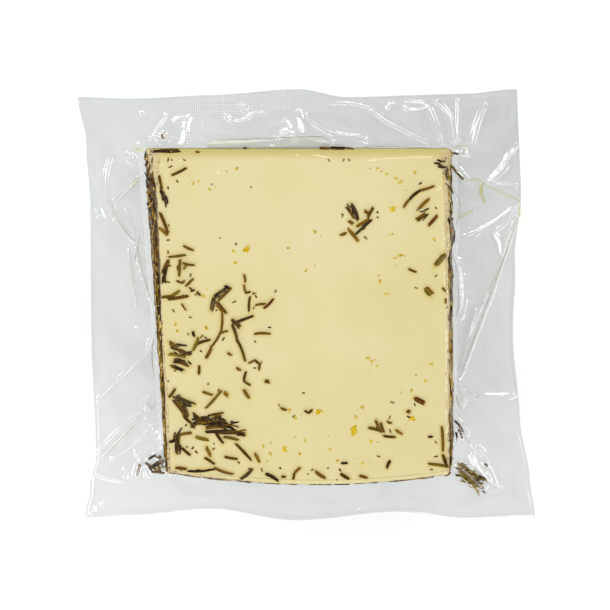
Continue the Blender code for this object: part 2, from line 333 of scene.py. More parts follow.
def fill(ring, side_steps):
    """Places of a smooth grid inside a ring of four sides, from tip to rind and left to right."""
    wide, deep = side_steps[:2]
    near = ring[:wide + 1]
    right = ring[wide:wide + deep + 1]
    far = ring[wide + deep:2 * wide + deep + 1][::-1]
    left = np.concatenate((ring[2 * wide + deep:], ring[:1]))[::-1]
    u = np.linspace(0, 1, wide + 1)[None, :, None]
    v = np.linspace(0, 1, deep + 1)[:, None, None]
    sides = mix(near[None], far[None], v) + mix(left[:, None], right[:, None], u)
    return sides - mix(mix(near[0], near[-1], u), mix(far[0], far[-1], u), v)


def fill_faces(ring_first, inner_first, side_steps):
    """Faces of such a grid, whose edge is the ring and whose inner points come row by row."""
    wide, deep = side_steps[:2]
    index = np.empty((deep + 1, wide + 1), dtype=int)
    index[0] = np.arange(wide + 1)
    index[:, -1] = wide + np.arange(deep + 1)
    index[-1] = 2 * wide + deep - np.arange(wide + 1)
    index[1:, 0] = 2 * wide + 2 * deep - np.arange(1, deep + 1)
    index += ring_first
    inner = np.arange((deep - 1) * (wide - 1)).reshape(deep - 1, wide - 1)
    index[1:-1, 1:-1] = inner_first + inner
    corners = (index[:-1, :-1], index[:-1, 1:], index[1:, 1:], index[1:, :-1])
    return np.stack(corners, -1).reshape(-1, 4).tolist()


def off_rim(side_steps, cells=12):
    """How far each inner point of such a grid is from its edge: 0 at it, 1 some cells in."""
    wide, deep = (np.minimum(np.arange(1, n), n - np.arange(1, n)) for n in side_steps[:2])
    return ease(np.minimum(wide[None, :], deep[:, None]) / cells).ravel()


def set_attribute(obj, name, values):
    """Give a mesh's points a number or a colour each."""
    values = np.asarray(values, dtype=np.float32)
    if values.ndim == 1:
        obj.data.attributes.new(name, "FLOAT", "POINT").data.foreach_set("value", values)
        return
    colours = np.ones((len(values), 4), dtype=np.float32)
    colours[:, :3] = values
    layer = obj.data.attributes.new(name, "FLOAT_COLOR", "POINT")
    layer.data.foreach_set("color", colours.ravel())


# Materials

def srgb(red, green, blue):
    """Linear colour from 0 to 255 screen values."""
    def linear(value):
        value /= 255
        return value / 12.92 if value <= 0.04045 else ((value + 0.055) / 1.055) ** 2.4
    return tuple(linear(v) for v in (red, green, blue))


# Colours of the cheese and its rosemary, of what the films hold, of the painted shadow along folds
# and of the label
PAPER_LIGHT = srgb(236, 235, 228)
PAPER_SHADE = srgb(226, 224, 214)
OIL_PALE = srgb(250, 249, 234)
OIL_DEEP = srgb(240, 235, 180)
FOLD_SHADOW_PALE = srgb(228, 229, 218)
FOLD_SHADOW_DEEP = srgb(188, 188, 164)
PASTE_PALE = srgb(211, 199, 153)
PASTE_YELLOW = srgb(207, 194, 139)
PASTE_DEEP = srgb(201, 186, 122)
PASTE_TIP = srgb(186, 170, 98)
OIL_STAIN = srgb(200, 172, 74)
RIND_PALE = srgb(208, 190, 144)
RIND_TAN = srgb(186, 161, 108)
RIND_SPECK = srgb(84, 60, 32)
LEAVES = {
    "umber": srgb(108, 75, 5),
    "olive": srgb(112, 92, 12),
    "gold": srgb(142, 104, 8),
    "slate": srgb(78, 64, 32),
    "russet": srgb(100, 52, 8),
    "black": srgb(48, 33, 10),
    "straw": srgb(184, 160, 92),
}
HERB_STEPS = (
    (0.0, srgb(52, 38, 20)), (0.3, srgb(96, 70, 24)), (0.45, srgb(70, 54, 26)),
    (0.6, srgb(112, 96, 36)), (0.75, srgb(60, 44, 20)), (0.9, srgb(150, 116, 48)),
)
SPECK_COLOURS = (srgb(198, 168, 10), srgb(206, 182, 50), srgb(210, 186, 84), srgb(188, 156, 10))
# The flange's two films stand off each other and look greyer than where one clings
SEALED_FILM = (0.925, 0.937, 0.932)
TIGHT_FILM = (0.975, 0.98, 0.975)
# The darker tint that painted shade gives the flange
SHADED_FILM_TINT = (0.835, 0.846, 0.84)
# The knurl of the seal: its pitch, and the painted glint and painted shade with which it lightens
# and darkens what shows through it
KNURL_PITCH = 1.15 * MM
KNURL_GLINT = (1.15, 1.15, 1.15)
KNURL_SHADE = (0.66, 0.68, 0.68)
WHITE = (1.0, 1.0, 1.0)
# How much each film mirrors straight on, and how much more at a slant
SEALED_MIRROR = (0.075, 0.7)
TIGHT_MIRROR = (0.022, 0.2)


class Shader:
    """A material's node tree, with short calls for adding and joining nodes."""

    def __init__(self, name):
        self.material = bpy.data.materials.new(name)
        self.material.use_nodes = True
        self.tree = self.material.node_tree
        self.tree.nodes.clear()
        self.output = self.tree.nodes.new("ShaderNodeOutputMaterial")

    def node(self, kind, inputs=None, **settings):
        """A node whose inputs are joined to sockets or set to numbers and colours."""
        node = self.tree.nodes.new("ShaderNode" + kind)
        for key, value in settings.items():
            setattr(node, key, value)
        for key, value in (inputs or {}).items():
            if isinstance(value, bpy.types.NodeSocket):
                self.tree.links.new(value, node.inputs[key])
            else:
                value = (*value, 1.0) if isinstance(value, tuple) else value
                node.inputs[key].default_value = value
        return node

    def place(self):
        return self.node("TexCoord").outputs["Object"]

    def attribute(self, name, output="Fac"):
        return self.node("Attribute", attribute_name=name).outputs[output]

    def noise(self, scale, detail=4.0, roughness=0.55):
        inputs = {"Vector": self.place(), "Scale": scale, "Detail": detail,
                  "Roughness": roughness}
        return self.node("TexNoise", inputs).outputs["Fac"]

    def ramp(self, source, stops):
        """Colours that follow a source, from stops that each have a position and a colour."""
        node = self.node("ValToRGB", {"Fac": source})
        elements = node.color_ramp.elements
        while len(elements) < len(stops):
            elements.new(0.5)
        for element, (position, colour) in zip(elements, stops):
            element.position = position
            element.color = (*colour, 1.0)
        return node.outputs["Color"]

    def greys(self, source, *stops):
        return self.ramp(source, [(position, (grey,) * 3) for position, grey in stops])

    def mix(self, share, first, second, blend="MIX"):
        return self.node("MixRGB", {0: share, 1: first, 2: second}, blend_type=blend).outputs[0]

    def math(self, operation, first, second=0.0):
        return self.node("Math", {0: first, 1: second}, operation=operation).outputs[0]

    def times(self, first, second):
        return self.math("MULTIPLY", first, second)

    def bump(self, height, distance, strength=1.0, over=None):
        inputs = {"Height": height, "Distance": distance, "Strength": strength}
        if over:
            inputs["Normal"] = over
        return self.node("Bump", inputs).outputs["Normal"]

    def edge(self, amount, ragged, reach):
        """1 where an amount with a ragged edge is over a half, and 0 elsewhere."""
        uneven_amount = self.math("ADD", amount, self.times(ragged, reach))
        return self.greys(uneven_amount, (0.42, 0.0), (0.58, 1.0))

    def surface(self, node):
        self.tree.links.new(node.outputs[0], self.output.inputs["Surface"])
        return self.material

    def solid(self, colour, roughness, normal, shine=0.5):
        """The material of something that light doesn't pass through."""
        inputs = {"Base Color": colour, "Roughness": roughness, "Normal": normal,
                  "Specular IOR Level": shine}
        return self.surface(self.node("BsdfPrincipled", inputs))

    def clear(self, tint, share, over):
        """The material of something clear and tinted, with a share of another node over it."""
        under = self.node("BsdfTransparent", {"Color": tint})
        inputs = {0: share, 1: under.outputs[0], 2: over.outputs[0]}
        return self.surface(self.node("MixShader", inputs))


def film_material(name, colour, mirror, grazing):
    """Clear film that mirrors a little, more at a slant, knurled where sealed, with painted shade
    and glints in its tint.
    """
    shader = Shader(name)
    axes = shader.node("SeparateXYZ", {0: shader.place()}).outputs
    turn = 2 * math.pi / KNURL_PITCH
    ribs = [shader.math("SINE", shader.times(shader.math(way, axes[0], axes[1]), turn))
            for way in ("ADD", "SUBTRACT")]
    patchy = shader.greys(shader.noise(60.0, 2.0), (0.36, 0.3), (0.56, 1.0))
    seal = shader.times(shader.attribute("seal"), patchy)
    knurl = shader.times(shader.times(*ribs), seal)
    fine = shader.bump(shader.noise(220.0, 3.0), 0.06 * MM, 0.4)
    bump = shader.bump(knurl, 0.03 * MM, 1.0, fine)
    facing = shader.node("LayerWeight", {"Normal": bump, "Blend": 0.5}).outputs["Facing"]
    slanted = shader.times(shader.math("POWER", facing, 5.0), grazing)
    mirrored = shader.math("ADD", slanted, mirror)
    # Painted shade: the tint goes darker where the mesh asks for painted shade
    painted_shade_tint = shader.mix(shader.attribute("painted_shade"), colour, SHADED_FILM_TINT)
    # Painted shade in the knurl's hollows and a painted glint on its ridges
    hollow = shader.math("MAXIMUM", shader.times(knurl, -1.0), 0.0)
    shaded = shader.mix(hollow, painted_shade_tint, KNURL_SHADE)
    tint = shader.mix(shader.math("MAXIMUM", knurl, 0.0), shaded, KNURL_GLINT)
    gloss = shader.node("BsdfGlossy", {"Normal": bump, "Color": WHITE, "Roughness": 0.07})
    return shader.clear(tint, mirrored, gloss)


def cheese_material():
    """Paste inside, a thin rind round it, and the crumbled herb that sticks to the rind."""
    shader = Shader("manchego")
    broad = shader.noise(24.0, 3.0)
    mottle = shader.noise(110.0, 5.0)
    paste = shader.ramp(broad, ((0.35, PASTE_YELLOW), (0.65, PASTE_PALE)))
    paste = shader.mix(0.15, paste, shader.ramp(mottle, ((0.3, PASTE_DEEP), (0.7, PASTE_PALE))))
    paste = shader.mix(shader.attribute("tip"), paste, PASTE_TIP)
    paste = shader.mix(shader.attribute("stain"), paste, OIL_STAIN)
    rind = shader.ramp(shader.noise(300.0, 5.0, 0.7), ((0.35, RIND_TAN), (0.65, RIND_PALE)))
    dots = shader.greys(shader.noise(900.0, 3.0, 0.7), (0.57, 0.0), (0.64, 1.0))
    rind = shader.mix(dots, rind, RIND_SPECK)
    cells = shader.node("TexVoronoi", {"Vector": shader.place(), "Scale": 1000.0})
    herb = shader.ramp(cells.outputs["Color"], HERB_STEPS)
    dark = shader.greys(shader.noise(1500.0, 3.0), (0.4, 0.0), (0.7, 0.6))
    herb = shader.mix(dark, herb, LEAVES["black"])
    ragged = shader.math("SUBTRACT", shader.noise(260.0, 6.0, 0.75), 0.5)
    on_rind = shader.edge(shader.attribute("rind"), ragged, 0.5)
    on_herb = shader.edge(shader.attribute("herb"), ragged, 1.6)
    colour = shader.mix(on_herb, shader.mix(on_rind, paste, rind), herb)
    crumbs = shader.times(cells.outputs["Distance"], shader.times(on_herb, 4.0))
    relief = shader.math("ADD", shader.noise(700.0, 3.0), crumbs)
    return shader.solid(colour, 0.5, shader.bump(relief, 0.1 * MM, 0.5))


def tinted_material(name, roughness, relief_scale, relief):
    """A material whose colour is each point's tint, made uneven; on leaves the tint holds painted
    light and shade.
    """
    shader = Shader(name)
    patches = ((0.3, (0.62, 0.58, 0.5)), (0.7, (1.2, 1.16, 1.05)))
    patchy = shader.ramp(shader.noise(relief_scale, 4.0, 0.65), patches)
    colour = shader.mix(1.0, shader.attribute("tint", "Color"), patchy, "MULTIPLY")
    bump = shader.bump(shader.noise(relief_scale * 1.7, 3.0), relief, 0.8)
    return shader.solid(colour, roughness, bump, 0.0)


def oil_and_shadow_material(name, pale, deep):
    """Something clear and coloured between the films: trapped oil, and the painted shadow along
    folds.
    """
    shader = Shader(name)
    tint = shader.ramp(shader.noise(400.0, 3.0), ((0.35, pale), (0.65, deep)))
    gloss = shader.node("BsdfGlossy", {"Color": WHITE, "Roughness": 0.12})
    return shader.clear(tint, 0.04, gloss)


def painted_highlight_material(name):
    """Painted highlights: the film painted white in patches along its creases, where it shines."""
    shader = Shader(name)
    patchy = shader.greys(shader.noise(110.0, 3.0), (0.36, 0.15), (0.58, 0.85))
    return shader.clear(WHITE, patchy, shader.node("BsdfDiffuse", {"Color": (0.98,) * 3}))


def paper_material():
    """Blank matte paper."""
    shader = Shader("blank_paper")
    fibre = shader.noise(900.0, 5.0, 0.7)
    colour = shader.ramp(fibre, ((0.3, PAPER_SHADE), (0.7, PAPER_LIGHT)))
    return shader.solid(colour, 0.75, shader.bump(fibre, 0.03 * MM, 0.4))


# The film

# Points along each side, from the thin edge round, and how many rings the film has from its
# cut edge to the wedge, round the fillet at its foot, up the walls and over their edge
FLANGE_SIDE_STEPS = (285, 315, 285, 315)
WEDGE_SIDE_STEPS = (190, 210, 190, 210)
FLANGE_STEPS = 60
FILLET_STEPS = 5
WALL_STEPS = 10
ROUND_STEPS = 5
FILLET = 1.4 * MM
FILM_CORNER = 1.9 * MM
# The seal past the thin edge: its width, where it shows best, and how far from there and how
# faintly it still shows
SEAL_WIDTH = 7.0 * MM
SEAL_MIDDLE = -16 * MM
SEAL_REACH = 22 * MM
SEAL_FAINTEST = 0.3
# How far past the label's edge the back film stays up, and how far on it is down again
LABEL_CLEARANCE = 0.4 * MM
LABEL_SLOPE = 1.5 * MM
FOLD_PLACE = 1.0 * MM  # the height at which folds are placed
FOLD_LIMIT = 3.0 * MM
# The back film's rings, from near the middle of the pack towards its cut edge at 0
BACK_RINGS = (0.8, 0.55, 0.3, 0.12, 0.03, 0.0)
# Painted shade that darkens the flange's tint: everywhere, more to the right, more towards the
# thin edge, and more again where both meet
PAINTED_SHADE = 0.12
PAINTED_SHADE_RIGHT = 0.12
PAINTED_SHADE_TIP = 0.55
PAINTED_SHADE_CORNER = 0.2
PAINTED_SHADE_START = 10 * MM
PAINTED_SHADE_REACH = 50 * MM

# Sharp creases in the flange, as photograph pixels along each, with its height and half width
# in millimetres
CREASES = (
    (((112, 152), (106, 172), (106, 190), (110, 208), (115, 223)), 0.9, 1.3),
    (((113, 203), (127, 190), (141, 176)), 1.4, 1.4),
    (((113, 203), (117, 216), (127, 232), (137, 243)), 1.1, 1.2),
    (((125, 207), (131, 222), (136, 240)), 0.8, 1.1),
    (((129, 245), (131, 268), (137, 309)), 0.7, 1.1),
    (((136, 244), (143, 275), (151, 302)), 0.7, 1.1),
    (((156, 324), (150, 345), (143, 357), (112, 386), (94, 404)), 1.3, 1.5),
    (((94, 457), (122, 427), (153, 392)), 1.4, 1.4),
    (((100, 462), (128, 434), (156, 402)), 1.0, 1.2),
    (((155, 423), (143, 434), (131, 447), (108, 460)), 1.0, 1.4),
    (((134, 448), (141, 460), (134, 483)), 1.1, 1.4),
    (((134, 483), (119, 479), (94, 474)), 0.9, 1.4),
    (((162, 425), (161, 440), (156, 460)), 0.9, 1.2),
    (((168, 112), (158, 125), (150, 140)), 1.0, 1.3),
    (((224, 111), (228, 117), (234, 121), (242, 121), (249, 116), (255, 113), (268, 113)),
     0.9, 1.4),
    (((275, 140), (287, 130), (298, 142)), 0.9, 1.3),
    (((302, 109), (316, 123), (333, 132), (346, 135), (362, 137), (370, 145)), 1.1, 1.5),
    (((326, 104), (356, 106), (375, 112), (388, 121), (412, 133), (435, 145)), 1.0, 1.5),
    (((387, 110), (389, 104), (396, 103)), 0.6, 1.1),
    (((400, 104), (412, 110), (426, 107), (421, 103), (402, 102)), 0.7, 1.2),
    (((428, 105), (435, 121), (445, 147)), 1.0, 1.4),
    (((432, 99), (443, 107), (451, 121), (455, 147)), 1.0, 1.3),
    (((458, 96), (458, 120), (457, 144)), 0.9, 1.3),
    (((469, 96), (486, 96)), 0.5, 1.2),
    (((486, 100), (478, 119), (474, 133), (471, 146)), 1.1, 1.6),
    (((517, 207), (505, 222), (493, 232)), 1.0, 1.4),
    (((460, 147), (467, 149), (466, 156), (459, 155)), 0.6, 1.0),
    (((486, 184), (502, 184), (519, 186)), 0.9, 1.4),
    (((457, 235), (468, 236), (480, 230), (498, 219), (517, 205)), 1.2, 1.6),
    (((519, 208), (507, 245), (496, 276), (492, 290), (473, 340), (455, 388)), 1.2, 1.4),
    (((516, 214), (500, 262), (484, 300), (466, 345), (457, 372)), 0.8, 1.1),
    (((454, 391), (463, 392), (472, 396), (476, 399), (484, 395), (519, 396)), 1.2, 1.5),
    (((471, 443), (484, 454), (497, 481), (496, 488), (478, 491)), 1.6, 1.7),
    (((463, 437), (471, 443)), 0.7, 1.1),
)
# Broad pleats, whose even slopes shine, in the same form
PLEATS = (
    (((127, 150), (131, 160), (134, 152)), 0.9, 1.6),
    (((96, 208), (100, 218)), 0.6, 1.6),
    (((146, 403), (151, 413)), 0.9, 1.6),
    (((125, 466), (126, 480)), 0.8, 1.5),
    (((94, 475), (92, 495), (93, 517)), 0.7, 1.8),
    (((139, 114), (145, 112)), 0.6, 1.2),
    (((172, 121), (178, 118), (186, 118)), 0.8, 1.5),
    (((183, 136), (183, 143), (177, 146)), 0.9, 1.7),
    (((190, 113), (186, 125), (185, 138)), 0.8, 1.6),
    (((202, 121), (212, 119)), 0.5, 1.1),
    (((238, 104), (247, 107), (242, 112)), 0.6, 1.2),
    (((283, 119), (289, 128), (288, 137)), 0.9, 1.6),
    (((298, 108), (302, 120), (303, 132)), 1.0, 1.8),
    (((519, 140), (511, 150), (506, 162), (501, 170), (486, 183)), 1.0, 1.7),
    (((492, 232), (498, 242), (501, 257)), 1.3, 1.9),
    (((454, 252), (458, 268), (459, 284), (460, 300), (456, 322)), 1.7, 2.5),
    (((477, 306), (471, 325), (467, 341)), 1.1, 2.0),
    (((458, 408), (462, 402), (466, 396)), 0.9, 1.6),
    (((473, 449), (477, 466), (487, 477)), 1.0, 1.8),
    (((355, 512), (375, 501), (400, 501), (433, 509)), 0.5, 1.8),
)
# Small ridges in the film over the cut face, as photograph pixels, with height and half width
FACE_RIDGES = (
    (((161, 167), (170, 163), (183, 162)), 0.4, 1.1),
    (((214, 172), (221, 175), (233, 172)), 0.4, 1.0),
    (((254, 160), (280, 161), (292, 157), (303, 157)), 0.4, 1.1),
    (((309, 157), (318, 157), (331, 161)), 0.35, 1.0),
    (((362, 163), (395, 160), (437, 158)), 0.4, 1.1),
    (((437, 158), (424, 170), (410, 177)), 0.3, 1.0),
    (((319, 260), (321, 272), (328, 282)), 0.35, 1.0),
    (((240, 222), (242, 228), (246, 227)), 0.25, 0.8),
    (((437, 188), (441, 195), (443, 203)), 0.5, 1.6),
    (((412, 213), (420, 211), (428, 214)), 0.35, 0.9),
    (((435, 256), (441, 262), (446, 258)), 0.35, 1.0),
    (((159, 183), (157, 200), (157, 214), (163, 224)), 0.4, 0.9),
    (((163, 256), (161, 275), (161, 300), (164, 318)), 0.35, 0.9),
    (((165, 330), (165, 350), (168, 372)), 0.35, 0.9),
    (((164, 382), (167, 398), (169, 412)), 0.35, 0.9),
    (((170, 436), (169, 450), (173, 462)), 0.35, 0.9),
    (((192, 418), (205, 417), (218, 424)), 0.35, 1.0),
    (((443, 206), (442, 250), (444, 300)), 0.4, 0.9),
    (((444, 300), (445, 340), (445, 400)), 0.35, 0.8),
    (((445, 405), (446, 430), (448, 452)), 0.35, 0.8),
    (((304, 415), (313, 418), (315, 424)), 0.2, 0.8),
)
# How hollow the slopes of creases and of pleats are
CREASE_SHAPE = 2.0
PLEAT_SHAPE = 1.35


def along_line(places, line):
    """Each place's distance from a line of points, and its share along it."""
    line = np.array(line)
    lengths = np.linalg.norm(np.diff(line, axis=0), axis=1)
    best = np.full(places.shape[:-1], 1e9)
    share = np.zeros(places.shape[:-1])
    before = 0.0
    for start, end, length in zip(line, line[1:], lengths):
        along = np.clip(((places - start) @ (end - start)) / length ** 2, 0, 1)
        off = np.linalg.norm(places - (start + along[..., None] * (end - start)), axis=-1)
        nearer = off < best
        best = np.where(nearer, off, best)
        share = np.where(nearer, (before + along * length) / lengths.sum(), share)
        before += length
    return best, share


def rounded_line(points, steps=6):
    """A smooth line through a few points."""
    points = np.array(points, dtype=float)
    if len(points) < 3:
        return points
    padded = np.vstack((2 * points[0] - points[1], points, 2 * points[-1] - points[-2]))
    result = [points[0]]
    for k in range(1, len(padded) - 2):
        p0, p1, p2, p3 = padded[k - 1:k + 3]
        for step in range(1, steps + 1):
            t = step / steps
            result.append(0.5 * (2 * p1 + (p2 - p0) * t + (2 * p0 - 5 * p1 + 4 * p2 - p3) * t ** 2
                                 + (3 * p1 - p0 - 3 * p2 + p3) * t ** 3))
    return np.array(result)


def ridge(places, line, height, width, shape=CREASE_SHAPE):
    """Height of one fold over the places, fading at its ends; a higher shape is more hollow."""
    off, share = along_line(places, rounded_line(line))
    fade = ease(share / 0.12) * ease((1 - share) / 0.12)
    return height * fade * np.clip(1 - off / width, 0, 1) ** shape


def fold_height(places):
    """The upper film's folds, and where loose rosemary holds it up."""
    total = np.zeros(places.shape[:-1])
    for folds, shape in ((CREASES, CREASE_SHAPE), (PLEATS, PLEAT_SHAPE)):
        for line, height, width in folds:
            floor_line = [floor_place(pixel, FOLD_PLACE) for pixel in line]
            fold = ridge(places, floor_line, height * MM, width * MM, shape)
            total = np.maximum(total, fold)
    for x0, y0, x1, y1, _, _ in LOOSE_LEAVES:
        leaf = (floor_place((x0, y0), LOOSE_HEIGHT), floor_place((x1, y1), LOOSE_HEIGHT))
        off, _ = along_line(places, leaf)
        total = np.maximum(total, LOOSE_FILM * ease(1 - off / LOOSE_REACH))
    clump = [floor_place(pixel, FOLD_PLACE) for pixel in CLUMP_ENDS]
    off, _ = along_line(places, clump)
    return np.maximum(total, CLUMP_HEIGHT * ease(1 - off / CLUMP_REACH))


def back_film_height(places):
    """The back film lies on the floor, and rises over the label."""
    low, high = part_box("label")
    x = places[..., 0] - ACROSS_MIDDLE
    y = RADIUS_MIDDLE - places[..., 1]
    outside = np.maximum.reduce((low[0] - x, x - high[0], low[1] - y, y - high[1]))
    return BACK_FILM + OVER_LABEL * ease(1 - (outside - LABEL_CLEARANCE) / LABEL_SLOPE)


def side_round(out, wall_height, sizes):
    """How far the wall rounds over into the cut face."""
    at_sides, at_rind, most = sizes
    return np.minimum(mix(at_sides, at_rind, out[:, 1] ** 2), most * wall_height)


def up_walls(foot, top, out, levels, bumps, shares):
    """Rings up the walls at shares of the way between two levels, pushed out by bumps."""
    rings = []
    for share in shares:
        level = mix(*levels, share)
        place = mix(foot, top, (ease(level) * level)[:, None])
        place = place + out * (bumps * math.sin(math.pi * share))[:, None]
        rings.append(on_wedge(place[:, 0], place[:, 1], level))
    return rings


def over_edge(top, out, round_in, steps, below=0.0):
    """Rings over the rounded edge, which end on the cut face or so far below it."""
    rings = []
    for step in range(1, steps + 1):
        turn = math.pi / 2 * step / steps
        place = top - out * (round_in * (1 - math.cos(turn)))[:, None]
        lift = -below - round_in * (1 - math.sin(turn))
        rings.append(on_wedge(place[:, 0], place[:, 1], 1.0, lift))
    return rings


def wedge_foot(side_steps):
    """Where the upper film stands round the wedge: its foot, and the way and reach out of it."""
    foot, out = walls(side_steps, LEFT_FOOT, RIGHT_FOOT, FILM_CORNER)
    foot = bulge(foot + out * FILM_OUT, out, BULGE_FOOT)
    wall_height = foot[:, 1] * math.sin(WEDGE_ANGLE)
    fillet = np.minimum(FILLET, 0.4 * wall_height)
    return foot, out, wall_height, fillet


def flange_height(places, share, wall_height):
    """The upper film's height over the flange; share runs from 0 at the cut edge to 1."""
    limit = mix(FOLD_LIMIT, 0.8 * wall_height, ease((share - 0.6) / 0.4))
    folds = np.minimum(fold_height(places), limit) * mix(0.4, 1, ease(share / 0.1))
    height, size = FLANGE_WAVE
    wave = height * ease(share / 0.3) * np.clip(1 + waves(places, size, 5), 0, None)
    height, size = PUCKER
    pucker = height * (waves(places, size, 6) ** 2 * ease((share - 0.5) / 0.5))
    return back_film_height(places) + FILM_APART + folds + wave + pucker


def make_flange(material):
    """The back film, and the upper film from the cut edge to the wedge's foot."""
    edge = outline(FLANGE_SIDE_STEPS)
    foot, out, wall_height, fillet = wedge_foot(FLANGE_SIDE_STEPS)
    start = foot + out * fillet[:, None]
    middle = foot.mean(0)
    rings = []
    seals = []
    for share in BACK_RINGS:
        place = mix(edge, middle, share)
        rings.append(world(place[:, 0], place[:, 1], back_film_height(place)))
        seals.append(np.zeros(len(edge)))
    on_top = np.arange(len(edge)) < FLANGE_SIDE_STEPS[0]
    for step in range(FLANGE_STEPS):
        share = step / (FLANGE_STEPS - 1)
        place = mix(edge, start, share)
        rings.append(world(place[:, 0], place[:, 1], flange_height(place, share, wall_height)))
        from_edge = np.linalg.norm(place - edge, axis=1)
        strong = mix(SEAL_FAINTEST, 1.0, np.exp(-((place[:, 0] - SEAL_MIDDLE) / SEAL_REACH) ** 2))
        seals.append(on_top * ease(8 * (1 - from_edge / SEAL_WIDTH)) * strong)
    below = world(middle[0], middle[1], BACK_FILM + OVER_LABEL)
    points = np.concatenate(rings + [below[None]])
    count = len(edge)
    faces = ring_faces(0, count, len(rings)) + fan_faces(len(points) - 1, 0, count)
    flange = new_object("flange_film", points, faces, material)
    set_attribute(flange, "seal", np.concatenate(seals + [[0.0]]))
    # Painted shade over the flange: more to the right, and more towards the thin edge
    aside = points[:, 0] / pack_high[0]
    upper = ease((points[:, 1] - PAINTED_SHADE_START) / PAINTED_SHADE_REACH)
    painted_shade = PAINTED_SHADE + PAINTED_SHADE_RIGHT * aside + upper * (PAINTED_SHADE_TIP + PAINTED_SHADE_CORNER * aside)
    set_attribute(flange, "painted_shade", painted_shade)
    return flange


def make_wedge_film(material):
    """The upper film where it is drawn tight up the walls and over the cut face."""
    foot, out, wall_height, fillet = wedge_foot(WEDGE_SIDE_STEPS)
    top, _ = walls(WEDGE_SIDE_STEPS, LEFT_FACE, RIGHT_FACE, FILM_CORNER)
    top = bulge(top + out * FILM_OUT, out, BULGE_TOP)
    round_in = side_round(out, wall_height, FILM_ROUND)
    start = foot + out * fillet[:, None]
    base = flange_height(start, 1.0, wall_height)
    rings = []
    for step in range(FILLET_STEPS + 1):
        turn = math.pi / 2 * step / FILLET_STEPS
        place = foot + out * (fillet * (1 - math.sin(turn)))[:, None]
        rings.append(world(place[:, 0], place[:, 1], base + fillet * (1 - math.cos(turn))))
    low = np.arcsin(np.minimum(0.95, rings[-1][:, 2] / foot[:, 1])) / WEDGE_ANGLE
    high = 1 - np.arcsin(round_in / foot[:, 1]) / WEDGE_ANGLE
    low = np.minimum(low, 0.9 * high)
    ripple = uneven(foot, WALL_RIPPLE, 8) * wall_height / FULL_WALL
    shares = np.arange(1, WALL_STEPS + 1) / WALL_STEPS
    rings += up_walls(foot, top, out, (low, high), ripple, shares)
    rings += over_edge(top, out, round_in, ROUND_STEPS)
    rim = top - out * round_in[:, None]
    inner = fill(rim, WEDGE_SIDE_STEPS)[1:-1, 1:-1].reshape(-1, 2)
    face = on_wedge(inner[:, 0], inner[:, 1], 1.0, face_film_lift(inner))
    points = np.concatenate(rings + [face])
    count = len(foot)
    faces = ring_faces(0, count, len(rings))
    faces += fill_faces((len(rings) - 1) * count, len(rings) * count, WEDGE_SIDE_STEPS)
    return new_object("wedge_film", points, faces, material)


def face_film_lift(places):
    """How far the film over the cut face stands off its plane."""
    total = uneven(places, FACE_RIPPLE, 12) * off_rim(WEDGE_SIDE_STEPS)
    for line, height, width in FACE_RIDGES:
        total = total + ridge(places, [face_place(p) for p in line], height * MM, width * MM)
    return total


# The cheese

CHEESE_SIDE_STEPS = (210, 240, 210, 240)
CHEESE_WALL_STEPS = 14
CHEESE_ROUND_STEPS = 6
UNDERSIDE_RINGS = (0.3, 0.7, 0.97)  # from the middle of the underside to its edge at 1
CHEESE_CORNER = 1.1 * MM
# X of the cheese's own walls, in the same form as the film's
CHEESE_LEFT_FOOT = (-48.4 * MM, -42.7 * MM)
CHEESE_LEFT_FACE = (-46.0 * MM, -41.4 * MM)
CHEESE_RIGHT_FOOT = (47.1 * MM, 48.8 * MM)
CHEESE_RIGHT_FACE = (45.8 * MM, 46.5 * MM)
# How far in from the cheese's outline the rind shows on the face, in millimetres, from the
# start of each side to its end; the thin edge was the middle of the wheel and has no rind
RIND_BANDS = (
    (-3.0, -3.0),
    (2.0, 1.0, 0.9, 0.9, 1.0, 0.9, 0.9),
    (0.6, 0.2, 0.0, -0.2, 0.0, 0.4, 1.0, 1.2),
    (1.4, 1.5, 1.5, 1.0, 0.9, 1.1, 1.0, 1.0, 2.6),
)
# The same for the crumbled herb that hides the rind
HERB_BANDS = (
    (-3.0, -3.0),
    (-1.2, -0.7, -0.4, -0.9, -1.0, -0.9, -1.0),
    (-0.6, -0.4, -0.4, -0.6, -0.8),
    (0.3, 0.4, 0.7, 0.4, 0.6, 0.9, 0.9, 0.8, -1.0),
)
# Each band's widths and how softly it ends
BANDS = {
    "rind": (RIND_BANDS, 0.5 * MM),
    "herb": (HERB_BANDS, 0.7 * MM),
}
WALL_BAND = 2 * MM  # how far out the foot of the walls counts for the bands
HERB_COVER = 0.66  # how thickly the crumbled herb covers the walls
HERB_STARTS = 2.5  # rings below the cut face
# The deeper paste beside the thin edge and towards the right: how strong it is, where it
# starts and how softly
TIP_TINT = 0.95
TIP_BAND = 4.6 * MM
TIP_FADE = 3.6 * MM
RIGHT_TINT = 0.16
RIGHT_START = -5 * MM
RIGHT_FADE = 50 * MM


def band_widths(bands):
    """The width of a band at each point round the cheese."""
    parts = []
    for widths, steps in zip(bands, CHEESE_SIDE_STEPS):
        along = np.arange(steps) / steps * (len(widths) - 1)
        parts.append(np.interp(along, np.arange(len(widths)), widths))
    return np.concatenate(parts) * MM


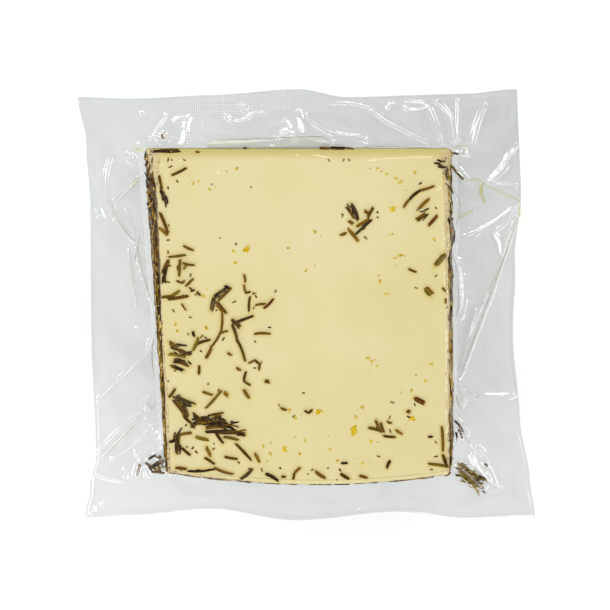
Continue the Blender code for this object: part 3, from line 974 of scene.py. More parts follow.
def cheese_skin():
    """Rings up the cheese's walls and over its rounded edge, and how far each is in from them."""
    foot, out = walls(CHEESE_SIDE_STEPS, CHEESE_LEFT_FOOT, CHEESE_RIGHT_FOOT, CHEESE_CORNER,
                      FILM_OFF_RIND)
    top, _ = walls(CHEESE_SIDE_STEPS, CHEESE_LEFT_FACE, CHEESE_RIGHT_FACE, CHEESE_CORNER,
                   FILM_OFF_RIND)
    foot = bulge(foot, out, BULGE_FOOT)
    wall_height = foot[:, 1] * math.sin(WEDGE_ANGLE)
    round_in = side_round(out, wall_height, CHEESE_ROUND)
    low = np.arcsin(CHEESE_FLOOR / foot[:, 1]) / WEDGE_ANGLE
    sink = np.arcsin((FILM_OFF_FACE + round_in) / top[:, 1]) / WEDGE_ANGLE
    high = np.maximum(1 - sink, low + 0.05)
    lumps = uneven(foot, CHEESE_LUMPS, 3) * wall_height / FULL_WALL
    shares = np.arange(CHEESE_WALL_STEPS + 1) / CHEESE_WALL_STEPS
    rings = up_walls(foot, top, out, (low, high), lumps, shares)
    rings += over_edge(top, out, round_in, CHEESE_ROUND_STEPS, FILM_OFF_FACE)
    inward = [np.full(len(foot), -WALL_BAND * (1 - share)) for share in shares]
    for step in range(1, CHEESE_ROUND_STEPS + 1):
        turn = math.pi / 2 * step / CHEESE_ROUND_STEPS
        inward.append(round_in * (1 - math.cos(turn)))
    return np.array(rings), np.array(inward), top, round_in, out


def make_cheese(material, skin):
    """The wedge: two cut faces, the wheel's two flat faces and the rind."""
    rings, inward, top, round_in, out = skin
    rim = top - out * round_in[:, None]
    grid = fill(rim, CHEESE_SIDE_STEPS)
    inner = grid[1:-1, 1:-1].reshape(-1, 2)
    swell = uneven(inner, CHEESE_SWELL, 4) * off_rim(CHEESE_SIDE_STEPS)
    middle = rings[0].mean(0)
    floor = np.array([mix(middle, rings[0], share) for share in UNDERSIDE_RINGS])
    points = np.concatenate((floor.reshape(-1, 3), rings.reshape(-1, 3),
                             on_wedge(inner[:, 0], inner[:, 1], 1.0, swell - FILM_OFF_FACE),
                             middle[None]))
    count = len(top)
    ring_count = len(floor) + len(rings)
    faces = ring_faces(0, count, ring_count) + fan_faces(len(points) - 1, 0, count)
    faces += fill_faces((ring_count - 1) * count, ring_count * count, CHEESE_SIDE_STEPS)
    cheese = new_object("cheese", points, faces, material)
    for name, (bands, soft) in BANDS.items():
        width = band_widths(bands)
        shares = ease((width - inward) / soft + 0.5)
        if name == "herb":
            at_edge = shares[CHEESE_WALL_STEPS]
            for step in range(CHEESE_WALL_STEPS + 1):
                below = min(1, (CHEESE_WALL_STEPS - step) / HERB_STARTS)
                shares[step] = mix(at_edge, HERB_COVER, below)
        beyond = fill_band(inner, width - round_in, soft)
        below_floor = np.zeros(floor.size // 3)
        set_attribute(cheese, name, np.concatenate((below_floor, shares.ravel(), beyond, (0.0,))))
    set_attribute(cheese, "stain", stains(points))
    depth = (RADIUS_MIDDLE - points[:, 1]) / math.cos(WEDGE_ANGLE) - TIP_RADIUS
    near_tip = TIP_TINT * ease((TIP_BAND - depth) / TIP_FADE)
    to_right = RIGHT_TINT * ease((points[:, 0] - RIGHT_START) / RIGHT_FADE)
    set_attribute(cheese, "tip", np.maximum(near_tip, to_right))


def fill_band(inner, left_over, soft):
    """What is left of a band beyond the rounded edge, at each inner point of the face."""
    wide, deep = CHEESE_SIDE_STEPS[:2]
    across, radius = np.moveaxis(inner.reshape(deep - 1, wide - 1, 2), -1, 0)
    right = left_over[wide + 1:wide + deep, None] - (across[:, -1:] - across)
    left = left_over[:2 * wide + deep:-1, None] - (across - across[:, :1])
    far = left_over[2 * wide + deep - 1:wide + deep:-1] - (radius[-1:] - radius)
    return ease(np.maximum(np.maximum(left, right), far) / soft + 0.5).ravel()


# Rosemary

# Where a needle's rings lie along it, and how wide each is, as shares of the whole
NEEDLE_RINGS = (0.0, 0.04, 0.3, 0.6, 0.95, 1.0)
NEEDLE_WIDTHS = (0.55, 0.9, 1.0, 1.0, 0.8, 0.45)
NEEDLE_SIDES = 6
# How light a leaf is along its middle and along its sides: partly painted light and shade on its
# top and sides, partly its own paler or darker middle
LEAF_LIGHTS = ((1.3, 0.45), (0.65, 1.15), (1.1, 0.6))


# Each leaf on the cut face: photograph pixels of its two ends, its width in pixels and its
# colour. They are grouped as the sprigs and drifts that they lie in.
SPRIGS = {
    "thin_edge": (
        (153, 151.5, 170, 152, 2.6, "black"), (160, 149.8, 178, 149.6, 2.0, "umber"),
        (172, 152, 180, 151.3, 1.8, "black"), (320, 147.8, 332, 147.6, 2.4, "umber"),
        (331, 147.6, 345, 148.2, 2.8, "black"), (344, 148.2, 353, 148.8, 1.8, "umber"),
        (196, 151.6, 199, 152, 1.6, "umber"), (244, 148, 246, 148.2, 1.6, "black"),
    ),
    "upper_left": (
        (172, 175, 186, 168, 2.6, "umber"), (159, 176, 162, 188, 2.5, "umber"),
        (161, 190, 165, 200, 4.0, "black"), (151, 178, 155, 188, 2.6, "russet"),
        (160, 213, 168, 233, 3.0, "umber"), (159, 228, 167, 235, 2.6, "gold"),
        (184, 246, 193, 250, 2.2, "umber"), (169, 257, 185, 255, 2.4, "olive"),
        (168, 260, 162, 272, 2.6, "umber"), (165, 269, 163, 281, 2.6, "black"),
        (165, 269, 169, 265, 2.0, "umber"), (180, 260, 179, 276, 2.6, "olive"),
        (183, 263, 194, 265, 2.2, "umber"), (187, 264, 184, 269, 2.0, "olive"),
        (177, 281, 182, 283, 2.0, "umber"), (182, 283, 184, 281, 1.8, "umber"),
        (186, 286, 193, 279, 2.2, "umber"), (191, 291, 194, 290, 2.0, "black"),
        (197, 292, 200, 295, 2.0, "umber"), (162, 297, 171, 296, 3.0, "olive"),
        (171, 296, 179, 291, 3.0, "olive"), (168, 299, 188, 296, 3.0, "umber"),
        (182, 304, 186, 310, 1.4, "russet"),
    ),
    "middle_sprig": (
        (226, 289, 213, 297, 3.5, "slate"), (214, 298, 211, 311, 3.5, "slate"),
        (231, 288, 218, 301, 2.5, "umber"), (226, 286, 229, 289, 2.6, "black"),
        (216, 301, 226, 313, 3.2, "umber"), (217, 306, 222, 312, 2.2, "gold"),
        (222, 313, 221, 331, 2.0, "umber"), (221, 331, 212, 346, 2.2, "umber"),
        (212, 346, 206, 358, 3.4, "umber"), (227, 331, 220, 333, 2.0, "umber"),
    ),
    "forked_sprig": (
        (253, 316, 234, 323, 2.6, "slate"), (232, 325, 237, 341, 3.0, "olive"),
        (237, 340, 245, 361, 2.5, "olive"), (235, 321, 240, 327, 4.0, "umber"),
        (250, 297, 249, 311, 2.2, "umber"), (244, 275, 245, 282, 2.0, "umber"),
        (244, 285, 246, 293, 2.0, "umber"), (246, 293, 250, 292, 2.0, "umber"),
        (256, 305, 265, 304, 2.2, "umber"), (264, 308, 273, 299, 2.4, "russet"),
        (255, 334, 270, 334, 2.4, "umber"), (249, 363, 255, 360, 1.8, "umber"),
        (255, 360, 260, 364, 2.2, "umber"), (260, 364, 259, 370, 2.0, "umber"),
        (246, 372, 244, 381, 2.2, "umber"), (244, 381, 250, 385, 2.0, "umber"),
        (244, 390, 249, 398, 3.0, "umber"), (265, 381, 269, 382, 3.6, "umber"),
        (237, 368, 240, 370, 2.4, "umber"), (228, 353, 231, 355, 2.2, "umber"),
    ),
    "left_middle": (
        (169, 342, 179, 350, 3.5, "umber"), (179, 350, 189, 355, 3.0, "umber"),
        (195, 345, 210, 340, 2.5, "umber"), (193, 332, 194, 336, 2.4, "black"),
        (198, 338, 193, 350, 2.6, "olive"), (170, 354, 186, 357, 4.0, "olive"),
        (174, 360, 190, 366, 4.0, "umber"), (172, 366, 184, 371, 3.5, "black"),
        (180, 356, 191, 352, 2.6, "slate"), (199, 366, 199, 374, 2.4, "umber"),
        (175, 389, 169, 397, 2.4, "umber"), (174, 397, 193, 405, 6.0, "slate"),
        (174, 400, 187, 416, 4.0, "umber"), (203, 392, 212, 395, 2.4, "umber"),
        (221, 391, 206, 408, 2.6, "olive"), (224, 392, 228, 396, 3.6, "gold"),
    ),
    "lower_left": (
        (184, 416, 191, 423, 3.0, "umber"), (193, 414, 200, 420, 3.5, "black"),
        (202, 419, 222, 414, 3.5, "umber"), (191, 426, 200, 420, 3.2, "black"),
        (199, 421, 211, 418, 3.2, "black"), (202, 424, 224, 421, 3.6, "black"),
        (205, 428, 232, 426, 3.8, "umber"), (206, 432, 226, 431, 3.0, "black"),
        (217, 432, 245, 432, 4.0, "umber"), (236, 434, 246, 434, 3.6, "black"),
        (216, 433, 223, 443, 2.8, "umber"), (191, 433, 180, 435, 2.8, "umber"),
        (178, 436, 177, 453, 5.0, "umber"), (170, 442, 178, 440, 3.0, "black"),
        (182, 448, 190, 455, 2.6, "umber"), (206, 447, 211, 456, 3.4, "gold"),
        (205, 458, 214, 464, 2.6, "umber"), (225, 457, 237, 459, 2.4, "umber"),
        (236, 444, 251, 460, 2.6, "umber"), (255, 454, 259, 462, 2.4, "umber"),
        (176, 468, 186, 469, 3.0, "umber"), (188, 471, 215, 469, 2.2, "black"),
        (215, 468, 233, 474, 2.4, "umber"), (252, 469, 241, 479, 3.0, "slate"),
        (196, 437, 208, 440, 3.0, "olive"), (224, 437, 238, 440, 2.6, "olive"),
    ),
    "rind_edge": (
        (266, 474, 278, 481, 3.0, "black"), (282, 477, 285, 477, 2.4, "umber"),
        (300, 468, 294, 474, 2.4, "umber"), (294, 474, 293, 479, 2.2, "umber"),
        (316, 472, 325, 478, 3.0, "umber"), (341, 474, 349, 479, 3.0, "umber"),
        (342, 463, 347, 463, 2.4, "black"), (360, 476, 367, 478, 2.6, "umber"),
        (390, 461, 387, 468, 2.8, "russet"), (281, 408, 286, 410, 2.2, "umber"),
        (305, 411, 308, 413, 2.0, "black"), (309, 413, 312, 410, 2.0, "black"),
    ),
    "lower_right": (
        (376, 421, 381, 432, 2.6, "umber"), (381, 423, 384, 432, 2.2, "umber"),
        (369, 428, 380, 431, 2.8, "olive"), (384, 436, 395, 437, 2.4, "umber"),
        (396, 430, 402, 434, 2.2, "umber"), (388, 422, 391, 423, 2.4, "umber"),
        (414, 398, 424, 403, 4.6, "russet"), (407, 411, 410, 412, 3.4, "umber"),
        (442, 427, 443, 451, 2.6, "umber"), (443, 455, 447, 466, 3.0, "umber"),
        (429, 464, 449, 467, 2.6, "olive"), (429, 437, 432, 437, 2.2, "black"),
    ),
    "upper_middle": (
        (351, 204, 358, 220, 3.5, "slate"), (351, 213, 354, 218, 2.4, "umber"),
        (349, 221, 353, 224, 3.4, "umber"), (365, 211, 368, 213, 3.2, "umber"),
        (373, 208, 368, 217, 2.6, "umber"), (369, 219, 357, 226, 3.0, "umber"),
        (371, 220, 356, 234, 2.8, "slate"), (349, 230, 358, 241, 3.0, "umber"),
        (341, 235, 346, 233, 2.4, "umber"),
    ),
    "upper_right": (
        (404, 207, 410, 199, 2.2, "umber"), (410, 199, 421, 190, 2.6, "slate"),
        (421, 190, 434, 186, 2.4, "umber"), (429, 199, 418, 210, 2.8, "umber"),
        (426, 213, 417, 219, 3.5, "umber"), (437, 216, 429, 225, 3.0, "russet"),
        (445, 254, 435, 266, 5.0, "olive"), (409, 269, 416, 272, 2.4, "umber"),
        (425, 289, 431, 296, 3.4, "olive"), (428, 288, 433, 293, 2.4, "umber"),
        (443, 288, 445, 291, 2.4, "gold"), (446, 299, 446, 303, 1.8, "umber"),
    ),
}
# Golden specks and small dark dots on the cut face: photograph pixels and sizes in pixels
SPECKS = (
    (198, 182, 3), (193, 184, 3), (209, 189, 3), (237, 168, 3), (233, 251, 3), (246, 250, 7),
    (235, 263, 3), (177, 331, 3), (176, 323, 4), (206, 327, 3), (203, 296, 3), (288, 248, 3),
    (315, 232, 3), (306, 270, 3), (318, 412, 6), (295, 418, 3), (290, 410, 3), (305, 441, 3),
    (285, 450, 6), (300, 454, 3), (330, 449, 3), (337, 461, 3), (263, 446, 3), (270, 453, 3),
    (354, 432, 8), (356, 417, 3), (362, 407, 3), (413, 418, 6), (371, 442, 4), (362, 464, 3),
    (393, 209, 6), (392, 234, 3), (400, 182, 4), (397, 178, 3), (378, 168, 3), (386, 174, 3),
    (415, 172, 3), (434, 239, 3), (401, 255, 4), (396, 258, 3), (380, 281, 3), (387, 294, 3),
    (412, 282, 3), (431, 364, 3), (425, 381, 3), (411, 391, 3), (368, 358, 3), (372, 362, 3),
    (377, 366, 3),
)
DOTS = (
    (236, 244, 3), (251, 187, 2), (220, 238, 2), (212, 184, 2), (162, 323, 2), (187, 447, 2),
    (180, 454, 2), (308, 474, 2), (337, 480, 2),
)
# Seeded drifts of small leaves: the middle's photograph pixel, the way they point in degrees
# clockwise from the right, half the drift's length and width in pixels, and how many
DRIFTS = (
    (181, 350, 25, 11, 5, 9), (178, 363, 10, 9, 6, 12), (183, 408, 55, 12, 4, 10),
    (207, 421, -5, 20, 5, 30), (232, 431, 3, 13, 3, 8), (177, 444, 95, 9, 4, 10),
    (226, 424, 10, 12, 5, 14),
    (217, 297, -40, 9, 3, 5), (236, 323, 60, 5, 3, 5), (353, 213, 65, 8, 3, 4),
    (424, 217, -35, 7, 4, 5), (164, 196, 75, 9, 3, 5), (165, 272, 100, 8, 3, 5),
    (441, 163, 10, 4, 6, 5), (447, 176, 80, 6, 3, 4),
)
DRIFT_LEAVES = ("black", "umber", "black", "black", "slate", "umber", "black", "olive")
# Seeded crumbs of leaf: the share of leaves that have one by them, how far off, in pixels,
# and the columns and rows of pixels that they keep to
CRUMB_SHARE = 0.7
CRUMB_SPREAD = 9.0
CRUMB_AREA = ((168, 436), (160, 470))
CRUMB_LEAVES = ("umber", "gold", "russet", "olive")
# How far the middles of leaves, crumbs and drifts lie above the cut face
LEAF_LIFT = 0.25 * MM
CRUMB_LIFT = 0.1 * MM
DRIFT_LIFT = 0.3 * MM
# Specks are rings of points, each with its share of the speck's size and its lift in
# millimetres; seeded ones keep to these columns and rows of pixels
SPECK_SIDES = 9
SPECK_RINGS = ((1.0, -0.02), (0.9, 0.05), (0.5, 0.07))
SPECK_AREA = ((170, 440), (158, 472))
# How far and how deep oil from the leaves stains the cheese
STAIN_REACH = 0.35 * MM
STAIN_DEPTH = 0.8
# On each side, from the thin edge round: how many needles, and the highest ring they lie on
COAT_COUNTS = (0, 300, 560, 1100)
COAT_TOPS = (0, 15, 15, 17)
COAT_LEAVES = ("black", "umber", "straw", "olive", "gold", "black", "straw", "umber", "black")
# How long its needles are: at least, and at most near a corner, on the edge and on the walls
COAT_SHORTEST = 1.5
COAT_LONGEST = (3.0, 4.0, 7.0)
# How far needles keep below the cheese's underside, the pack's highest point and the film
UNDER_CHEESE = 0.3 * MM
UNDER_TOP = 0.4 * MM
UNDER_FACE = 0.2 * MM


class Leaves:
    """Gathers many needles into one mesh."""

    def __init__(self):
        self.points = []
        self.faces = []
        self.tints = []
        self.draw = random.Random(3)

    def add(self, middle, along, up, length, width, thick, tint, bend=0.0):
        """One chopped needle, bent sideways by a share of its length.

        Its middle is lighter or darker than its sides, by a draw: partly painted light and shade,
        partly the leaf's own colour.
        """
        middle = Vector(middle)
        along = Vector(along).normalized()
        up = Vector(up).normalized()
        across = along.cross(up).normalized()
        first = len(self.points)
        ridge_light, side_light = self.draw.choice(LEAF_LIGHTS)
        for place, share in zip(NEEDLE_RINGS, NEEDLE_WIDTHS):
            bow = bend * length * (1 - (2 * place - 1) ** 2)
            centre = middle + along * length * (place - 0.5) + across * bow
            ragged = share * self.draw.uniform(0.88, 1.1)
            slant = self.draw.uniform(-0.5, 0.5) * width if place in (0.0, 1.0) else 0.0
            darker = 0.7 if place in (0.0, 1.0) else self.draw.uniform(0.85, 1.15)
            for side in range(NEEDLE_SIDES):
                angle = 2 * math.pi * side / NEEDLE_SIDES
                offset = (across * math.cos(angle) * width / 2
                          + up * math.sin(angle) * thick / 2)
                self.points.append(centre + offset * ragged + along * slant * math.cos(angle))
                # Painted light and shade: the top facets take one tint and the other facets another
                lit = ridge_light if side in (1, 2) else side_light
                self.tints.append([c * lit * darker for c in tint])
        self.faces += closed_faces(first, NEEDLE_SIDES, len(NEEDLE_RINGS))

    def finish(self, name, material):
        set_attribute(new_object(name, self.points, self.faces, material), "tint", self.tints)


def shade(colour, share):
    """A colour made lighter or darker by a share."""
    return [part * share for part in colour]


def on_face(pixel, lift):
    """The point that a pixel shows on the cheese's cut face, lifted off it."""
    across, radius = face_place(pixel)
    return Vector(on_wedge(across, radius, 1.0, lift - FILM_OFF_FACE))


def face_way(turn):
    """A direction along the cut face, turned clockwise from the right."""
    return FACE_RIGHT * math.cos(turn) + FACE_DOWN * math.sin(turn)


def add_leaf(leaves, draw, start, end, width, tint):
    """A leaf between two points; a broad one is a few strands side by side."""
    along = end - start
    across = along.cross(FACE_NORMAL).normalized()
    strands = 1 + (width > 3.1) + (width > 4.4)
    wide = width * PIXEL / strands
    for strand in range(strands):
        middle = (start + end) / 2 + across * wide * (strand - (strands - 1) / 2)
        length = along.length + 1.2 * PIXEL
        if strands > 1:
            middle = middle + along * draw.uniform(-0.1, 0.1)
            length *= draw.uniform(0.75, 1.0)
        leaves.add(middle, along, FACE_NORMAL, length, wide * 1.1, min(0.75 * MM, wide * 0.75),
                   shade(tint, draw.uniform(0.55, 1.25)), draw.uniform(-0.06, 0.06))


def make_sprigs(material):
    """The leaves pressed on the cut face, with seeded crumbs of leaf round them."""
    leaves = Leaves()
    draw = random.Random(7)
    for rows in SPRIGS.values():
        for x0, y0, x1, y1, width, colour in rows:
            start = on_face((x0, y0), LEAF_LIFT)
            end = on_face((x1, y1), LEAF_LIFT)
            add_leaf(leaves, draw, start, end, width, LEAVES[colour])
            if draw.random() < CRUMB_SHARE:
                middle = ((x0 + x1) / 2, (y0 + y1) / 2)
                pixel = [min(high, max(low, at + draw.gauss(0, CRUMB_SPREAD)))
                         for at, (low, high) in zip(middle, CRUMB_AREA)]
                along = face_way(draw.uniform(0, math.pi))
                leaves.add(on_face(pixel, CRUMB_LIFT), along, FACE_NORMAL,
                           draw.uniform(0.5, 1.3) * MM, draw.uniform(0.35, 0.6) * MM, 0.3 * MM,
                           LEAVES[draw.choice(CRUMB_LEAVES)])
    for x, y, heading, half_length, half_width, count in DRIFTS:
        for _ in range(count):
            along = draw.gauss(0, half_length / 2)
            aside = draw.gauss(0, half_width / 2)
            turn = math.radians(heading)
            right, down = turned(along, aside, turn)
            way = face_way(turn + math.radians(draw.gauss(0, 14)))
            tint = shade(LEAVES[draw.choice(DRIFT_LEAVES)], draw.uniform(0.5, 1.1))
            leaves.add(on_face((x + right, y + down), DRIFT_LIFT), way, FACE_NORMAL,
                       draw.uniform(1.2, 3.4) * MM, draw.uniform(0.4, 0.7) * MM, 0.4 * MM,
                       tint, draw.uniform(-0.07, 0.07))
    leaves.finish("sprigs", material)


def under_film(end):
    """True if a point lies between the back film and the film over the cut face."""
    below_face = (end - Vector(on_wedge(0.0, 0.0, 0.0))).dot(FACE_NORMAL)
    inside = CHEESE_FLOOR - UNDER_CHEESE < end.z < pack_high[2] - UNDER_TOP
    return inside and below_face < -UNDER_FACE


def make_coat(material, rings):
    """The rosemary that covers the wheel's flat faces and the rind, laid on the cheese's skin."""
    leaves = Leaves()
    draw = random.Random(11)
    first = 0
    for side, steps in enumerate(CHEESE_SIDE_STEPS):
        highest = COAT_TOPS[side] - 1
        for _ in range(COAT_COUNTS[side]):
            share = draw.random() if side % 2 == 0 else draw.random() ** 0.55
            share = 1 - share if side == 3 else share
            i = first + min(steps - 1, int(steps * share))
            k = 1 + int(highest * draw.random() ** 0.8)
            j = (i + 2) % rings.shape[1]
            flat = Vector(rings[k, j] - rings[k, i - 2]).normalized()
            steep = Vector(rings[k + 1, i] - rings[k - 1, i]).normalized()
            out = steep.cross(flat).normalized()
            near_corner = min(share, 1 - share) < 0.05
            on_edge = k > CHEESE_WALL_STEPS
            angle = draw.uniform(-0.4, 0.4) if on_edge else draw.uniform(0, math.pi)
            along = flat * math.cos(angle) + steep * math.sin(angle)
            longest = COAT_LONGEST[0 if near_corner else 1 if on_edge else 2]
            length = draw.uniform(COAT_SHORTEST, longest) * MM
            tint = shade(LEAVES[draw.choice(COAT_LEAVES)], draw.uniform(0.5, 1.9))
            place = Vector(rings[k, i]) + out * draw.uniform(0.0, 0.2) * MM
            if not all(under_film(place + along * length * half) for half in (-0.5, 0.5)):
                continue
            leaves.add(place, along, out, length, draw.uniform(0.35, 0.85) * MM,
                       draw.uniform(0.3, 0.5) * MM, tint, draw.uniform(-0.08, 0.08))
        first += steps
    leaves.finish("rosemary_coat", material)


def make_specks(material):
    """Golden specks of oil and crumbs, and small dark dots, on the cut face."""
    draw = random.Random(5)
    points = []
    faces = []
    tints = []
    spots = [(x, y, size, draw.choice(SPECK_COLOURS)) for x, y, size in SPECKS]
    spots += [(x, y, size, LEAVES["black"]) for x, y, size in DOTS]
    for x, y, size in SPECKS:
        turn = draw.uniform(0, 2 * math.pi)
        lobe = (x + 0.5 * size * math.cos(turn), y + 0.5 * size * math.sin(turn))
        spots.append((*lobe, 0.7 * size, draw.choice(SPECK_COLOURS)))
        near = (x + draw.gauss(0, 7), y + draw.gauss(0, 7))
        if all(low < at < high for at, (low, high) in zip(near, SPECK_AREA)):
            spots.append((*near, draw.uniform(1.2, 2.4), draw.choice(SPECK_COLOURS)))
    for x, y, size, tint in spots:
        centre = on_face((x, y), 0.0)
        first = len(points)
        turn = draw.uniform(0, math.pi)
        stretch = draw.uniform(1.0, 1.5)
        edge = [draw.uniform(0.6, 1.25) for _ in range(SPECK_SIDES)]
        for share, lift in SPECK_RINGS:
            for side in range(SPECK_SIDES):
                angle = 2 * math.pi * side / SPECK_SIDES
                reach = size / 2 * PIXEL * share * edge[side]
                right, down = turned(reach * math.cos(angle) * stretch,
                                     reach * math.sin(angle) / stretch, turn)
                points.append(centre + FACE_RIGHT * right + FACE_DOWN * down
                              + FACE_NORMAL * lift * MM)
                tints.append(tint)
        faces += closed_faces(first, SPECK_SIDES, len(SPECK_RINGS))
    set_attribute(new_object("specks", points, faces, material), "tint", tints)


def stains(points):
    """How oily the cheese is round each leaf on the cut face."""
    total = np.zeros(len(points))
    for rows in SPRIGS.values():
        for x0, y0, x1, y1, width, _ in rows:
            start = np.array(on_face((x0, y0), 0.0))
            end = np.array(on_face((x1, y1), 0.0))
            off, _ = along_line(points, (start, end))
            reach = width * PIXEL / 2 + STAIN_REACH
            total = np.maximum(total, STAIN_DEPTH * np.exp(-(off / reach) ** 2))
    return total


# Between the films

# Rosemary that has dropped off the cheese: photograph pixels of each leaf's two ends, its
# width in pixels and its colour
LOOSE_LEAVES = (
    (140, 465, 137, 475, 3.0, "gold"), (149, 459, 155, 455, 2.6, "black"),
    (146, 463, 158, 470, 3.0, "umber"), (150, 468, 163, 462, 3.2, "black"),
    (153, 472, 164, 473, 3.0, "umber"), (160, 456, 163, 468, 2.8, "umber"),
    (455, 421, 463, 432, 2.6, "slate"), (459, 430, 462, 438, 2.6, "umber"),
    (456, 433, 457, 440, 2.4, "black"), (452, 166, 463, 179, 2.8, "olive"),
    (162, 135, 163, 138, 2.6, "gold"), (452, 153, 458, 154, 2.4, "umber"),
    (485, 464, 487, 466, 2.0, "umber"), (155, 456, 164, 461, 2.2, "umber"),
    (148, 464, 152, 471, 2.4, "russet"), (158, 463, 161, 473, 2.6, "umber"),
    (151, 467, 160, 460, 2.2, "black"), (155, 470, 164, 466, 2.4, "straw"),
)
LOOSE_HEIGHT = 0.6 * MM
# How high each leaf holds the film up, and how far round it
LOOSE_FILM = 2.2 * LOOSE_HEIGHT
LOOSE_REACH = 2.4 * MM
# The clump of crumbled leaves by the rind's corner, and how high and far round it the film
# stands up
CLUMP_ENDS = ((461, 467), (480, 486))  # photograph pixels
CLUMP_REACH = 2.42 * MM
CLUMP_HEIGHT = 2.0 * MM
CLUMP_LEAVES = 170
CLUMP_NAMES = ("straw", "olive", "straw", "gold", "straw", "slate", "black", "straw", "olive")
# Oil between the films, as photograph pixels along each run, with its width in pixels
OIL_RUNS = (
    (((466, 181), (474, 179), (483, 181)), 2.6),
    (((478, 180), (498, 191), (512, 197), (521, 202)), 2.0),
    (((483, 182), (481, 192), (485, 204)), 4.0),
    (((458, 219), (466, 214), (474, 210)), 3.6),
    (((520, 204), (519, 212), (521, 218)), 2.6),
    (((131, 187), (136, 181), (141, 176)), 3.2),
    (((133, 148), (139, 150), (145, 151)), 3.4),
    (((451, 149), (459, 146), (466, 149), (462, 154)), 1.4),
)
# Painted shadows: thin dark lines along some of the folds, in the same form
FOLD_LINES = (
    (((113, 202), (127, 190), (139, 178)), 1.2),
    (((112, 204), (116, 216), (126, 232), (137, 244)), 1.1),
    (((106, 178), (106, 191), (110, 207), (115, 222)), 0.9),
    (((129, 246), (131, 268), (137, 308)), 1.0),
    (((137, 246), (143, 275), (151, 300)), 1.0),
    (((140, 232), (138, 246), (134, 262)), 0.9),
    (((521, 208), (508, 246), (497, 277), (492, 291), (474, 340), (456, 388)), 1.2),
    (((517, 214), (501, 262), (485, 300), (467, 345), (458, 372)), 0.9),
    (((99, 463), (127, 434), (155, 404)), 0.9),
    (((156, 330), (152, 352), (154, 380)), 0.9),
    (((452, 185), (460, 205), (456, 226)), 0.9),
    (((456, 394), (458, 404), (463, 410)), 0.9),
    (((462, 432), (468, 441), (476, 447)), 0.8),
    (((208, 141), (250, 139), (300, 137), (322, 137), (330, 142)), 0.9),
    (((335, 144), (350, 147), (395, 146.5), (443, 149)), 1.0),
)
# Painted highlights: broad white patches on the folds, in the same form, and the width of the
# painted highlight along a crease
GLINTS = (
    (((453, 254), (459, 271), (461, 300), (456, 320)), 6.0),
    (((489, 292), (478, 316), (468, 340)), 3.4),
    (((486, 345), (479, 360)), 2.0),
    (((514, 148), (503, 164), (488, 182)), 6.0),
    (((493, 233), (499, 243), (500, 256)), 3.6),
    (((143, 411), (146, 405), (151, 408)), 4.0),
    (((184, 129), (183, 137), (182, 145)), 4.6),
    (((172, 121), (180, 117), (190, 116)), 2.4),
    (((297, 117), (302, 126), (303, 133)), 4.0),
    (((101, 207), (103, 213), (106, 219)), 2.6),
    (((473, 450), (478, 466), (492, 484)), 2.4),
)
CREASE_HIGHLIGHT = 0.9  # pixels
# A run's height at its sides, how much higher its middle is, how high it lies on the film,
# and where its points are from side to side
RUN_HEIGHT = 0.55 * MM
RUN_CROWN = 0.15 * MM
RUN_ON_FILM = 0.08 * MM
RUN_PARTS = (-1, -0.5, 0, 0.5, 1)


def make_loose_leaves(material):
    """The dropped leaves, and the clump of crumbled ones beside the rind's corner."""
    leaves = Leaves()
    draw = random.Random(21)
    for x0, y0, x1, y1, width, colour in LOOSE_LEAVES:
        start = Vector(over_floor((x0, y0), LOOSE_HEIGHT))
        end = Vector(over_floor((x1, y1), LOOSE_HEIGHT))
        tint = shade(LEAVES[colour], draw.uniform(0.8, 1.15))
        leaves.add((start + end) / 2, end - start, (0, 0, 1), (end - start).length + 0.4 * MM,
                   width * PIXEL, 0.55 * MM, tint, draw.uniform(-0.06, 0.06))
    for number in range(CLUMP_LEAVES):
        share = draw.random()
        pixel = [mix(a, b, share) + draw.gauss(0, 2.8) for a, b in zip(*CLUMP_ENDS)]
        height = draw.uniform(0.4, 1.3) * MM
        middle = over_floor(pixel, height)
        heading = math.radians(draw.gauss(-20, 22))
        along = (math.cos(heading), math.sin(heading), draw.uniform(-0.08, 0.08))
        tint = shade(LEAVES[CLUMP_NAMES[number % len(CLUMP_NAMES)]], draw.uniform(0.6, 1.3))
        leaves.add(middle, along, (0, 0, 1), draw.uniform(1.2, 2.8) * MM,
                   draw.uniform(0.35, 0.6) * MM, 0.4 * MM, tint, draw.uniform(-0.08, 0.08))
    leaves.finish("loose_rosemary", material)


def make_runs(name, runs, material, on_film=False):
    """Thin runs between the two films, or on them, wide in the middle and pointed at the ends."""
    spots = []
    heights = []
    faces = []
    for line, width in runs:
        run = rounded_line(line)
        first = len(spots)
        for k, pixel in enumerate(run):
            share = k / (len(run) - 1)
            before = run[max(0, k - 1)]
            after = run[min(len(run) - 1, k + 1)]
            side = np.array((before[1] - after[1], after[0] - before[0]))
            side = side / np.linalg.norm(side)
            half = width / 2 * (0.15 + 0.85 * math.sin(math.pi * share) ** 0.6)
            for part in RUN_PARTS:
                spots.append(pixel + side * half * part)
                heights.append(RUN_HEIGHT + RUN_CROWN * (1 - part * part))
        row = len(RUN_PARTS)
        for k in range(len(run) - 1):
            for at in range(first + row * k, first + row * (k + 1) - 1):
                faces.append((at, at + row, at + row + 1, at + 1))
    spots = np.array(spots).T
    heights = np.array(heights)
    if on_film:
        for _ in range(2):
            places = np.stack(floor_place(spots, heights), -1)
            heights = flange_height(places, 0.5, 1.0) + RUN_ON_FILM
    new_object(name, over_floor(spots, heights), faces, material)


# Floor, lights and camera

FLOOR_COLOUR = 0.44
FLOOR_GLOW = 0.5
FLOOR_HALF = 3.0
FLOOR_DROP = 0.2 * MM
# The room's patches: how small they are, and the stops of their greys from dark to bright
ROOM_SCALE = 2.4
ROOM_GREYS = ((0.4, 0.15), (0.6, 0.8))
